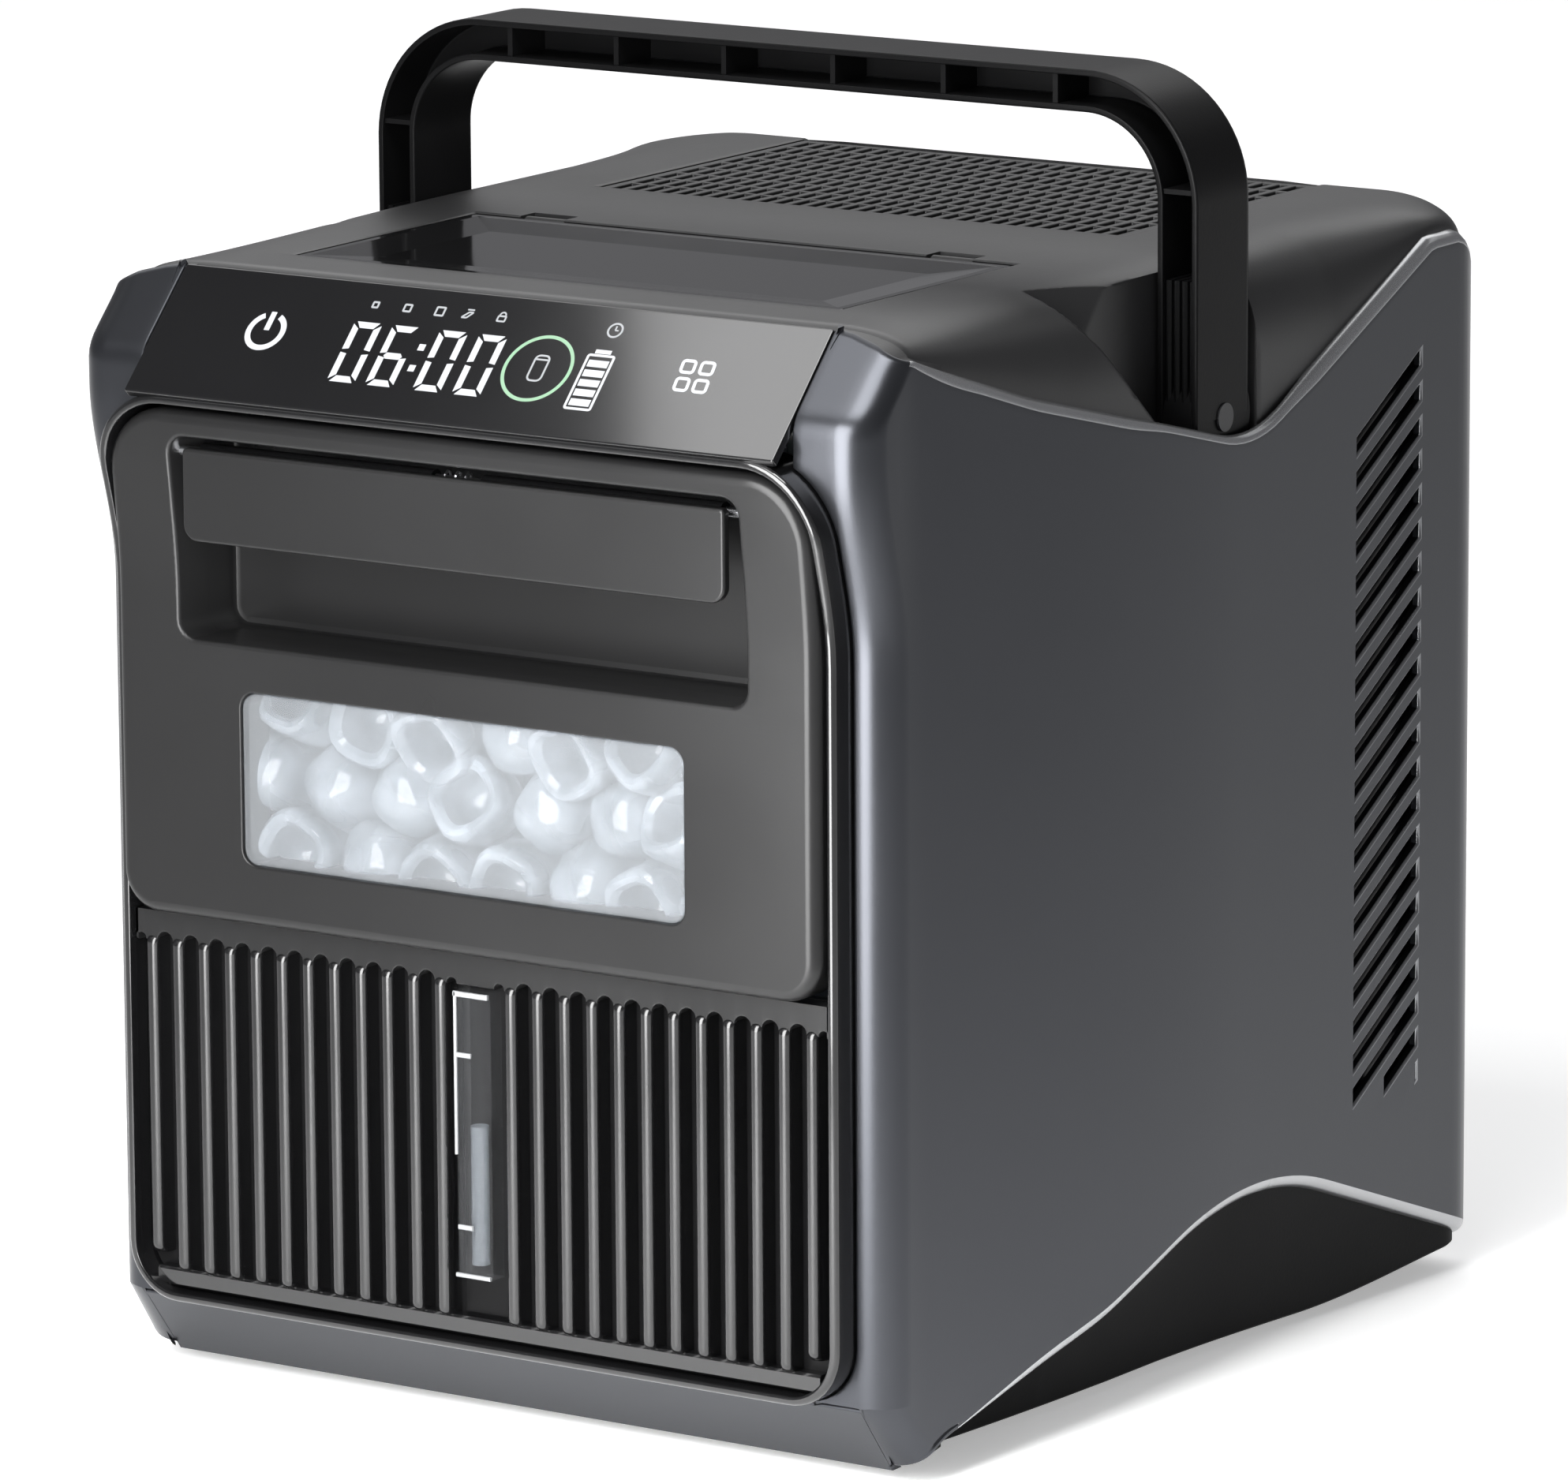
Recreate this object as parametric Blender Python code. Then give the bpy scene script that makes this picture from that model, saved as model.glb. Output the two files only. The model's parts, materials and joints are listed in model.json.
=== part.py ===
"""Portable ice maker with an ice drawer, a top lid and a carrying handle that folds forward.

Units are metres, +Z up, the front faces -Y.  The origin is at the centre of the
bounding box's bottom face, on the surface that the feet stand on.
Depths are measured back from FRONT_PLANE, a plane 12.9 mm behind the foremost edge.
"""
import math

import bmesh
import bpy
from mathutils import Matrix, Vector

# ---------------------------------------------------------------- driving sizes
FRONT_PLANE = -0.12755     # Y of depth 0
REAR_DEPTH = 0.268         # depth of the body's rear face
TOP_Z = 0.2736             # flat top of the body
FRONT_HALF = 0.1125        # half width of the body at its front corners
REAR_HALF = 0.1222         # half width from the handle to the rear
BOW_START, BOW_END = 0.014, 0.146      # depths between which the sides bow out
WALL = 0.0024              # thickness of the outer shells
GAP = 0.0003               # clearance between touching pieces
FRONT_CORNER_R = 0.009
REAR_CORNER_R = 0.015

SHELL_DEPTH = 0.0038       # front edge of the side panels
CHAMFER_Z, CHAMFER_RUN = 0.021, 0.0143  # the skirt's chamfer: height of its top, run
BOTTOM_Z = 0.0028          # underside of the base
SWEEP_Z = (0.198, 0.246)   # heights between which the front sweeps forward
SHELL_SWEEP = 0.009
SLANT_LOW = (-0.0129, 0.2467)          # depth and height of the control panel's lower edge
SLANT_HIGH = (0.0132, 0.2736)          # and of its upper edge
PANEL_HALF = 0.092         # half width of the control glass

BEZEL_HALF, BEZEL_Z = 0.1024, (0.0214, 0.2464)
BEZEL_STRIP = 0.0023
BEZEL_FACE, BEZEL_SWEEP, BEZEL_BACK = -0.0038, 0.0087, 0.012
BEZEL_TOP_R, BEZEL_BOTTOM_R = 0.020, 0.014

DOOR_HALF, DOOR_Z = 0.0996, (0.1187, 0.2428)
DOOR_FACE, DOOR_SWEEP, DOOR_BACK = -0.0075, 0.004, 0.004
DOOR_SKIN = 0.0036
POCKET_HALF, POCKET_Z, POCKET_BACK = 0.0808, (0.187, 0.2365), 0.0155
WINDOW_HALF, WINDOW_Z = 0.0632, (0.1336, 0.1758)
PADDLE_HALF, PADDLE_Z, PADDLE_FACE = 0.077, (0.2115, 0.2338), -0.0106
LATCH_AXIS = (-0.0052, 0.2322)         # depth and height of the latch pin

RIB_COUNT, RIB_PITCH, RIB_OUTER = 12, 0.0077, 0.0948
RIB_WIDTH, RIB_Z, RIB_FACE = 0.0034, (0.0285, 0.1125), -0.003
FRONT_PLATE = (0.003, 0.0058)          # depths of the ribbed front's back plate

LID_HALF, LID_DEPTH = 0.0782, (0.0378, 0.1135)
LID_AXIS = (0.1175, 0.271)             # depth and height of the lid's pins
GRILLE_HALF, GRILLE_DEPTH = 0.077, (0.165, 0.262)
SHOULDER_WIDTH, SHOULDER_DROP, SHOULDER_POWER = 0.024, 0.027, 2.5   # rounding of the top's sides

HANDLE_HALF, HANDLE_TOP = 0.119, 0.319
HANDLE_DEPTH = (0.130, 0.156)
LEG_THICK, BAR_THICK = 0.0112, 0.0103
HANDLE_BEND_R = 0.0285                 # radius of the handle's centre line
HANDLE_AXIS = (0.143, 0.236)           # depth and height of the handle's pins
HANDLE_SWING = 47.0                    # degrees forward, to where the bar meets the top
HANDLE_BORE_R = 0.0036
HANDLE_RIB_PITCH = 0.0316

BASKET_HALF, BASKET_DEPTH, BASKET_Z = 0.075, (0.0052, 0.112), (0.122, 0.181)
TRAY_AXIS, TRAY_R = (0.078, 0.223), 0.0305
FAN_CENTRE, FAN_R = (0.210, 0.140), 0.041

FINE, MEDIUM = 32, 20      # sides of round pieces


def world_y(depth):
    return FRONT_PLANE + depth


# ---------------------------------------------------------------- materials
def material(name, colour, roughness, metallic=0.0, alpha=1.0):
    mat = bpy.data.materials.new(name)
    mat.use_nodes = True
    shader = mat.node_tree.nodes["Principled BSDF"]
    shader.inputs["Base Color"].default_value = (*colour, 1.0)
    shader.inputs["Roughness"].default_value = roughness
    shader.inputs["Metallic"].default_value = metallic
    shader.inputs["Alpha"].default_value = alpha
    mat.diffuse_color = (*colour, alpha)
    return mat


def make_materials():
    return {
        "grey_shell": material("grey_shell", (0.075, 0.08, 0.088), 0.35, 0.7),
        "black_satin": material("black_satin", (0.03, 0.03, 0.031), 0.42),
        "black_gloss": material("black_gloss", (0.012, 0.012, 0.013), 0.16),
        "dark_glass": material("dark_glass", (0.006, 0.006, 0.007), 0.06),
        "clear": material("clear", (0.75, 0.8, 0.84), 0.05, 0.0, 0.35),
        "white_plastic": material("white_plastic", (0.75, 0.77, 0.78), 0.4),
        "rubber": material("rubber", (0.015, 0.015, 0.015), 0.8),
        "steel": material("steel", (0.55, 0.56, 0.57), 0.3, 1.0),
        "copper": material("copper", (0.72, 0.35, 0.2), 0.3, 1.0),
        "aluminium": material("aluminium", (0.7, 0.71, 0.72), 0.4, 1.0),
        "black_paint": material("black_paint", (0.02, 0.02, 0.022), 0.5),
        "board_green": material("board_green", (0.02, 0.12, 0.05), 0.5),
        "battery_blue": material("battery_blue", (0.05, 0.12, 0.3), 0.45),
    }


# ---------------------------------------------------------------- objects
def clear_scene():
    for ob in list(bpy.data.objects):
        bpy.data.objects.remove(ob, do_unlink=True)


def add_object(name, bm, smooth_angle=35.0):
    """Makes an object from a closed bmesh in world coordinates, its origin at the mesh's middle."""
    bmesh.ops.recalc_face_normals(bm, faces=bm.faces)
    low = Vector([min(v.co[i] for v in bm.verts) for i in range(3)])
    high = Vector([max(v.co[i] for v in bm.verts) for i in range(3)])
    centre = (low + high) / 2
    bmesh.ops.translate(bm, verts=bm.verts, vec=-centre)
    mesh = bpy.data.meshes.new(name)
    bm.to_mesh(mesh)
    bm.free()
    mesh.shade_smooth()
    mesh.set_sharp_from_angle(angle=math.radians(smooth_angle))
    ob = bpy.data.objects.new(name, mesh)
    ob.location = centre
    bpy.context.scene.collection.objects.link(ob)
    return ob


def joint_empty(name, position):
    empty = bpy.data.objects.new(name, None)
    empty.location = position
    empty.empty_display_size = 0.02
    bpy.context.scene.collection.objects.link(empty)
    return empty


def hang_on(empty, pieces):
    """Parents pieces to an empty and moves their origins onto it, so they turn about its axis."""
    for ob in pieces:
        if ob.type == "MESH":
            ob.data.transform(Matrix.Translation(ob.location - empty.location))
            ob.location = (0, 0, 0)
        else:
            ob.location = ob.location - empty.location
        ob.parent = empty


def guide(ob):
    ob.hide_render = True
    ob.display_type = "WIRE"
    return ob


def boolean(ob, other, operation, solver="EXACT"):
    mod = ob.modifiers.new(operation.lower() + "_" + other.name, "BOOLEAN")
    mod.operation = operation
    mod.solver = solver
    mod.object = other
    guide(other)
    return ob


def cut(ob, *others):
    for other in others:
        boolean(ob, other, "DIFFERENCE")
    return ob


def join(ob, *others):
    for other in others:
        boolean(ob, other, "UNION")
    return ob


def keep_inside(ob, other):
    return boolean(ob, other, "INTERSECT")


# ---------------------------------------------------------------- shapes
def loft(name, rings):
    """Closed solid through equal rings of points, with a flat cap at each end."""
    bm = bmesh.new()
    loops = [[bm.verts.new(p) for p in ring] for ring in rings]
    count = len(loops[0])
    for a, b in zip(loops, loops[1:]):
        for i in range(count):
            j = (i + 1) % count
            bm.faces.new((a[i], a[j], b[j], b[i]))
    bm.faces.new(loops[0])
    bm.faces.new(loops[-1])
    return add_object(name, bm)


def prism(name, outline, axis, low, high):
    """Extrudes an outline along X, Y or Z.  Its points are the other two coordinates in order."""
    def point(p, s):
        return {"x": (s, p[0], p[1]), "y": (p[0], s, p[1]), "z": (p[0], p[1], s)}[axis]
    return loft(name, [[point(p, s) for p in outline] for s in (low, high)])


def block(name, x, depth, z):
    outline = [(x[0], z[0]), (x[1], z[0]), (x[1], z[1]), (x[0], z[1])]
    return prism(name, outline, "y", world_y(depth[0]), world_y(depth[1]))


def round_bar(name, axis, centre, radius, low, high, sides=MEDIUM, radius_high=None):
    """Cylinder or cone along X, Y or Z; centre holds the other two world coordinates in order."""
    def ring(r):
        turn = [2 * math.pi * i / sides for i in range(sides)]
        return [(centre[0] + r * math.cos(t), centre[1] + r * math.sin(t)) for t in turn]
    def point(p, s):
        return {"x": (s, p[0], p[1]), "y": (p[0], s, p[1]), "z": (p[0], p[1], s)}[axis]
    top = radius if radius_high is None else radius_high
    return loft(name, [[point(p, low) for p in ring(radius)], [point(p, high) for p in ring(top)]])


def turned(name, centre, profile, sides=FINE):
    """Closed solid turned about Z; profile is (radius, z) from the bottom to the top."""
    def ring(r, z):
        turn = [2 * math.pi * i / sides for i in range(sides)]
        return [(centre[0] + r * math.cos(t), centre[1] + r * math.sin(t), z) for t in turn]
    return loft(name, [ring(r, z) for r, z in profile])


def tube(name, points, radius, smooth_steps=4, resolution=2):
    """Round pipe along a smooth curve through hand-placed points (x, depth, z)."""
    route = smooth_route([Vector((x, world_y(d), z)) for x, d, z in points], smooth_steps)
    curve = bpy.data.curves.new(name, "CURVE")
    curve.dimensions = "3D"
    curve.bevel_depth = radius
    curve.bevel_resolution = resolution
    curve.use_fill_caps = True
    spline = curve.splines.new("POLY")
    spline.points.add(len(route) - 1)
    for point, place in zip(spline.points, route):
        point.co = (*place, 1.0)
    ob = bpy.data.objects.new(name, curve)
    bpy.context.scene.collection.objects.link(ob)
    return ob


def smooth_route(points, steps):
    """Catmull-Rom curve through the points."""
    ends = [2 * points[0] - points[1]] + points + [2 * points[-1] - points[-2]]
    route = []
    for a, b, c, d in zip(ends, ends[1:], ends[2:], ends[3:]):
        for i in range(steps):
            t = i / steps
            route.append(0.5 * (2 * b + (c - a) * t + (2 * a - 5 * b + 4 * c - d) * t ** 2
                                + (3 * b - a - 3 * c + d) * t ** 3))
    return route + [points[-1]]


def rounded(corners, steps=5):
    """Outline through corners (u, v, radius), each rounded by an arc of its radius."""
    result = []
    count = len(corners)
    for i, (u, v, radius) in enumerate(corners):
        here = Vector((u, v))
        before = (Vector(corners[i - 1][:2]) - here).normalized()
        after = (Vector(corners[(i + 1) % count][:2]) - here).normalized()
        if radius <= 0:
            result.append((u, v))
            continue
        half = before.angle(after) / 2
        centre = here + (before + after).normalized() * radius / math.sin(half)
        start = here + before * radius / math.tan(half) - centre
        finish = here + after * radius / math.tan(half) - centre
        swing = start.angle_signed(finish)
        for k in range(steps + 1):
            arm = start.copy()
            arm.rotate(Matrix.Rotation(-swing * k / steps, 2))
            result.append(tuple(centre + arm))
    return result


def round_rect(half, z, top_r, bottom_r, steps=5):
    return rounded([(-half, z[0], bottom_r), (half, z[0], bottom_r),
                    (half, z[1], top_r), (-half, z[1], top_r)], steps)


def ease(t):
    t = min(max(t, 0.0), 1.0)
    return t * t * (3 - 2 * t)


# ---------------------------------------------------------------- the body's form
def half_width(depth):
    t = min(max((depth - BOW_START) / (BOW_END - BOW_START), 0.0), 1.0)
    return FRONT_HALF + (REAR_HALF - FRONT_HALF) * math.sin(t * math.pi / 2)


def sweep(z):
    """0 on the straight front, 1 where it has swept fully forward under the control panel."""
    return ease((z - SWEEP_Z[0]) / (SWEEP_Z[1] - SWEEP_Z[0]))


def slant(z):
    """Depth of the slanted control face at height z."""
    t = (z - SLANT_LOW[1]) / (SLANT_HIGH[1] - SLANT_LOW[1])
    return SLANT_LOW[0] + t * (SLANT_HIGH[0] - SLANT_LOW[0])


def shell_front(z):
    """Depth of the side panels' front at height z: chamfer, straight, sweep, slant."""
    if z < CHAMFER_Z:
        return SHELL_DEPTH + (CHAMFER_Z - z) * CHAMFER_RUN / (CHAMFER_Z - BOTTOM_Z)
    return max(SHELL_DEPTH - SHELL_SWEEP * sweep(z), slant(z))


def shell_half_outline(z, inset, front_x, rear_x):
    """Plan points (x, world y) of the body's right side at height z, from front to rear."""
    front = shell_front(z)
    points = [(front_x, front + inset)]
    front_r, rear_r = max(FRONT_CORNER_R, inset + 0.002), max(REAR_CORNER_R, inset + 0.002)
    corner_x = half_width(front + front_r) - front_r
    radius = front_r - inset
    for k in range(5):
        turn = math.radians(-90 + 22.5 * k)
        points.append((corner_x + radius * math.cos(turn), front + front_r + radius * math.sin(turn)))
    start, stop = front + front_r, REAR_DEPTH - rear_r
    for k in range(1, 7):
        depth = start + (min(BOW_END, stop) - start) * k / 6
        points.append((half_width(depth) - inset, depth))
    radius = rear_r - inset
    for k in range(5):
        turn = math.radians(22.5 * k)
        points.append((REAR_HALF - rear_r + radius * math.cos(turn), stop + radius * math.sin(turn)))
    points.append((rear_x, REAR_DEPTH - inset))
    return [(x, world_y(depth)) for x, depth in points]


SHELL_LEVELS = (-0.004, CHAMFER_Z, 0.198, 0.2095, 0.222, 0.2345, 0.246, 0.2548, 0.2755)


def body_volume(name, inset):
    """The whole body as one solid, inset from its outer surface; a guide for trimming."""
    rings = []
    for z in SHELL_LEVELS:
        right = shell_half_outline(z, inset, 0.05, 0.05)
        rings.append([(x, y, z) for x, y in right] + [(-x, y, z) for x, y in reversed(right)])
    return loft(name, rings)


UPPER_EDGE = [(0.2685, 0.2806, 0.0193), (0.152, 0.229, 0.043), (0.060, 0.2528, 0.15),
              (0.0155, 0.2675, 0.004), (0.0115, 0.2748, 0)]
LOWER_EDGE = [(0.014, BOTTOM_Z, 0.003), (0.024, 0.0103, 0.02), (0.088, 0.0254, 0.1),
              (0.152, 0.0488, 0.104), (0.2685, 0.0063, 0.008)]


def side_view_outline():
    """Outline, in world y and z, that trims the side panels' upper and lower edges."""
    front = -0.03
    corners = [(front, BOTTOM_Z, 0)] + LOWER_EDGE + UPPER_EDGE + [(front, 0.2748, 0)]
    return [(world_y(depth), z) for depth, z in rounded(corners, 8)]


def upper_edge_z(depth):
    """Height of the side panels' upper edge at a depth."""
    line = rounded([(0.2685, 0.20, 0)] + UPPER_EDGE[:4] + [(0.0, 0.2675, 0)], 8)[1:]
    line = sorted(line)
    for a, b in zip(line, line[1:]):
        if a[0] <= depth <= b[0]:
            t = (depth - a[0]) / max(b[0] - a[0], 1e-9)
            return a[1] + t * (b[1] - a[1])
    return line[0][1] if depth < line[0][0] else line[-1][1]


# ---------------------------------------------------------------- outer shells
def bezel_outline(grow=0.0):
    return round_rect(BEZEL_HALF + grow, (BEZEL_Z[0] - grow, BEZEL_Z[1] + grow),
                      BEZEL_TOP_R + grow, BEZEL_BOTTOM_R + grow, 6)


def shoulder_points(depth, inset, steps=5):
    """Right half of the top cover's section (x, z) at a depth, from the flat top to its edge."""
    edge = upper_edge_z(depth)
    outer = half_width(depth) - WALL - 0.0005
    width, drop = SHOULDER_WIDTH - inset, min(SHOULDER_DROP, TOP_Z - edge + 0.0015) - inset
    points = []
    for k in range(steps + 1):
        turn = math.pi / 2 * k / steps
        across, down = math.sin(turn) ** (2 / SHOULDER_POWER), math.cos(turn) ** (2 / SHOULDER_POWER)
        points.append((outer - SHOULDER_WIDTH + width * across, TOP_Z - inset - drop * (1 - down)))
    return points + [(outer - inset, edge - 0.005)]


# the front corners' top line (x, z), level with the glass at its inner end
CROWN = [(0.080, TOP_Z + 0.0004), (0.088, TOP_Z + 0.0004), (0.097, 0.2730), (0.105, 0.2710),
         (0.114, 0.2671)]


def side_panel(name, side):
    """One outer shell, from the front opening round the side to the rear cover."""
    rings = []
    for z in SHELL_LEVELS:
        outer = shell_half_outline(z, 0.0, PANEL_HALF + GAP, 0.098)
        inner = shell_half_outline(z, WALL, PANEL_HALF + GAP, 0.098)
        rings.append([(side * x, y, z) for x, y in outer + inner[::-1]])
    panel = loft(name, rings)
    reach = sorted((side * 0.06, side * 0.14))
    keep_inside(panel, prism(name + "_trim", side_view_outline(), "x", *reach))
    front = (world_y(-0.05), world_y(BEZEL_BACK + 0.001))
    opening = prism(name + "_opening", bezel_outline(GAP), "y", *front)
    seam = side * (half_width(0.015) - FRONT_CORNER_R)
    skirt_room = block(name + "_skirt_room", sorted((0.0, seam)), (-0.03, 0.03), (-0.02, CHAMFER_Z + GAP))
    crown = [(side * x, z) for x, z in CROWN + [(0.14, CROWN[-1][1]), (0.14, 0.30), (CROWN[0][0], 0.30)]]
    crown_room = prism(name + "_crown_room", crown, "y", world_y(-0.03), world_y(0.018))
    return cut(panel, opening, skirt_room, crown_room, louvres(name + "_louvres", side))


LOUVRE_COUNT, LOUVRE_PITCH = 20, 0.0086
LOUVRE_DEPTH, LOUVRE_LOW_Z = (0.2012, 0.2325), 0.0548
LOUVRE_RISE, LOUVRE_HEIGHT = 0.0175, 0.0042


def louvres(name, side):
    """Cutters for the slanted vent slots, one ladder of bars whose rungs are clear of each other."""
    bm = bmesh.new()
    for i in range(LOUVRE_COUNT):
        z = LOUVRE_LOW_Z + LOUVRE_PITCH * i
        corners = [(LOUVRE_DEPTH[0], z), (LOUVRE_DEPTH[1], z + LOUVRE_RISE),
                   (LOUVRE_DEPTH[1], z + LOUVRE_RISE + LOUVRE_HEIGHT), (LOUVRE_DEPTH[0], z + LOUVRE_HEIGHT)]
        inner = [bm.verts.new((side * 0.11, world_y(d), h)) for d, h in corners]
        outer = [bm.verts.new((side * 0.13, world_y(d), h)) for d, h in corners]
        bm.faces.new(inner)
        bm.faces.new(outer)
        for a in range(4):
            b = (a + 1) % 4
            bm.faces.new((inner[a], inner[b], outer[b], outer[a]))
    return add_object(name, bm)


def front_skirt():
    half = half_width(0.015) - FRONT_CORNER_R - GAP
    low, high = shell_front(BOTTOM_Z), shell_front(CHAMFER_Z)
    outline = [(low, BOTTOM_Z), (low + 0.003, BOTTOM_Z), (high + 0.003, CHAMFER_Z), (high, CHAMFER_Z)]
    return prism("front_skirt", [(world_y(d), z) for d, z in outline], "x", -half, half)


def swept_profile(face, amount, z, back, steps=6):
    """Side-view outline (world y, z) of a front piece whose face sweeps forward at the top."""
    heights = [z[0]] + [SWEEP_Z[0] + (z[1] - SWEEP_Z[0]) * k / steps for k in range(steps + 1)]
    front = [(face - amount * sweep(h), h) for h in heights]
    return [(world_y(d), h) for d, h in front + [(back, z[1]), (back, z[0])]]


def front_bezel():
    z = (BEZEL_Z[0] - 0.01, BEZEL_Z[1] + 0.01)
    ring = prism("front_bezel", bezel_outline(), "y", world_y(-0.05), world_y(BEZEL_BACK))
    face = swept_profile(BEZEL_FACE, BEZEL_SWEEP, z, BEZEL_BACK + 0.01)
    keep_inside(ring, prism("bezel_face", face, "x", -0.12, 0.12))
    inner = bezel_outline(-BEZEL_STRIP)
    return cut(ring, prism("bezel_hole", inner, "y", world_y(-0.06), world_y(0.05)))


def control_panel():
    run = 0.0033
    outline = [SLANT_LOW, (SLANT_LOW[0] + run, SLANT_LOW[1]),
               (SLANT_HIGH[0] + run, SLANT_HIGH[1]), SLANT_HIGH]
    return prism("control_panel", [(world_y(d), z) for d, z in outline], "x", -PANEL_HALF, PANEL_HALF)


def display_board():
    near, run, drop = 0.0085, 0.0022, 0.003
    low = (SLANT_LOW[0] + near, SLANT_LOW[1] + drop)
    high = (SLANT_HIGH[0] + near - 0.003, SLANT_HIGH[1] - drop - 0.0031)
    outline = [low, (low[0] + run, low[1]), (high[0] + run, high[1]), high]
    return prism("display_board", [(world_y(d), z) for d, z in outline], "x", -0.08, 0.08)


COVER_STATIONS = (-0.006, 0.016, 0.060, 0.105, 0.127, 0.139, 0.152, 0.166, 0.190, 0.232, 0.248,
                  0.258, 0.2676)
SCOOP_WALL_X = 0.1069      # the leg's scoop reaches in to here; its wall stands just inside


def cover_line(depth, inset):
    """The cover's whole section line at a depth, left to right; its rear end rounds down."""
    drop = 0.0035 * max(0.0, (depth - 0.258) / 0.0096)
    right = [(x, z - drop) for x, z in shoulder_points(depth, inset)]
    return [(x, world_y(depth), z) for x, z in [(-x, z) for x, z in right[::-1]] + right]


def folded_edge(reach, length):
    """Two points on the front edge of the room that a folded leg takes, reach off the hinge."""
    fold = math.radians(HANDLE_SWING)
    along, across = (-math.sin(fold), math.cos(fold)), (-math.cos(fold), -math.sin(fold))
    near = (HANDLE_AXIS[0] + reach * across[0], HANDLE_AXIS[1] + reach * across[1])
    return near, (near[0] + length * along[0], near[1] + length * along[1])


LEG_REACH = (HANDLE_DEPTH[1] - HANDLE_DEPTH[0]) / 2 + 0.001


def leg_room_outline():
    """Side view of the room a handle leg sweeps, from upright to folded forward."""
    depth, z = HANDLE_AXIS
    near, far = folded_edge(LEG_REACH, 0.09)
    outline = [(depth + LEG_REACH, z - LEG_REACH), (depth + LEG_REACH, 0.31),
               (far[0], 0.31), far, near, (depth, z - LEG_REACH)]
    return [(world_y(d), h) for d, h in outline]


def scoop_liner(word, side):
    """Solid that the leg's room is cut into, which leaves the scoop an inner wall and a floor."""
    top, back = 0.2692, 0.1265
    near, far = folded_edge(LEG_REACH + 0.0022, 0.09)
    slope = (far[1] - near[1]) / (far[0] - near[0])
    outline = [(back, near[1] + (back - near[0]) * slope),
               (near[0] + (top - near[1]) / slope, top), (back, top)]
    span = sorted((side * 0.1042, side * 0.1195))
    liner = prism("cover_liner_" + word, [(world_y(d), z) for d, z in outline], "x", *span)
    under_skin = loft("cover_under_skin_" + word, [cover_line(d, 0.0006) for d in COVER_STATIONS[2:8]])
    return boolean(liner, under_skin, "INTERSECT", "MANIFOLD")


def bend_room(name, side, angle):
    """Room for the bail's inner bend where it comes down over the shoulder."""
    inner = HANDLE_BEND_R - LEG_THICK / 2 - 0.001
    centre = (HANDLE_HALF - LEG_THICK / 2 - HANDLE_BEND_R, HANDLE_TOP - BAR_THICK / 2 - HANDLE_BEND_R)
    turns = [math.radians(a) for a in (0, 15, 30, 45, 60, 75)]
    arc = [(centre[0] + inner * math.cos(t), centre[1] + inner * math.sin(t)) for t in turns]
    outline = [(side * x, z) for x, z in arc + [(0.125, arc[-1][1]), (0.125, arc[0][1])]]
    room = prism(name, outline, "y", world_y(HANDLE_DEPTH[0] - 0.0008), world_y(HANDLE_DEPTH[1]))
    hinge = Vector((0, world_y(HANDLE_AXIS[0]), HANDLE_AXIS[1]))
    room.data.transform(Matrix.Translation(room.location - hinge))
    room.location = hinge
    room.rotation_euler = (math.radians(angle), 0, 0)
    return room


def top_cover():
    """Black top with rounded shoulders, openings for the lid and the grille, and leg notches."""
    cover = loft("top_cover", [cover_line(d, 0.0) + cover_line(d, WALL)[::-1] for d in COVER_STATIONS])
    rear_wall = loft("cover_rear_wall", [cover_line(d, 0.0006) for d in (0.2624, 0.2640)])
    join(cover, rear_wall, block("cover_lid_frame", (-0.086, 0.086), (0.031, 0.124), (0.2668, 0.2726)))
    for side, word in ((-1, "left"), (1, "right")):
        above_bracket = sorted((side * 0.1042, side * (SCOOP_WALL_X - 0.0001)))
        slot_back = sorted((side * 0.1066, side * 0.1176))
        join(cover, scoop_liner(word, side),
             block("cover_slot_side_" + word, above_bracket, (0.1260, 0.166), (0.2568, 0.2692)),
             block("cover_slot_back_" + word, slot_back, (0.1565, 0.1592), (0.2310, 0.2580)))
    # the exact solver fails on this trim and on the two tilted cutters below
    boolean(cover, body_volume("cover_limit", WALL + 0.0004), "INTERSECT", "MANIFOLD")
    run = 0.0036
    front = [(-0.08, 0.20), (slant(0.20) + run, 0.20), (slant(0.30) + run, 0.30), (-0.08, 0.30)]
    front_trim = prism("cover_front_trim", [(world_y(d), z) for d, z in front], "x", -0.15, 0.15)
    cut(cover, front_trim,
        block("cover_lid_seat", (-0.0785, 0.0785), (0.0375, 0.1148), (0.2699, 0.30)),
        block("cover_lid_hole", (-0.075, 0.075), (0.041, 0.111), (0.25, 0.31)),
        block("cover_grille_hole", (-GRILLE_HALF, GRILLE_HALF), GRILLE_DEPTH, (0.25, 0.31)))
    for side, word in ((-1, "left"), (1, "right")):
        notch = sorted((side * SCOOP_WALL_X, side * 0.14))
        cut(cover, prism("cover_swing_room_" + word, leg_room_outline(), "x", *notch))
        folded = bend_room("cover_bend_room_" + word, side, HANDLE_SWING)
        nearly = bend_room("cover_bend_room_mid_" + word, side, HANDLE_SWING - 3.0)
        boolean(cover, folded, "DIFFERENCE", "MANIFOLD")
        boolean(cover, nearly, "DIFFERENCE", "MANIFOLD")
        knuckle = sorted((side * 0.0525, side * 0.0655))
        pin = sorted((side * 0.0496, side * 0.0684))
        lid_axis = (world_y(LID_AXIS[0]), LID_AXIS[1])
        cut(cover,
            block("cover_knuckle_room_" + word, knuckle, (0.1095, 0.1212), (0.25, 0.31)),
            round_bar("cover_pin_hole_" + word, "x", lid_axis, 0.00135, *pin, 16))
    return cover


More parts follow.
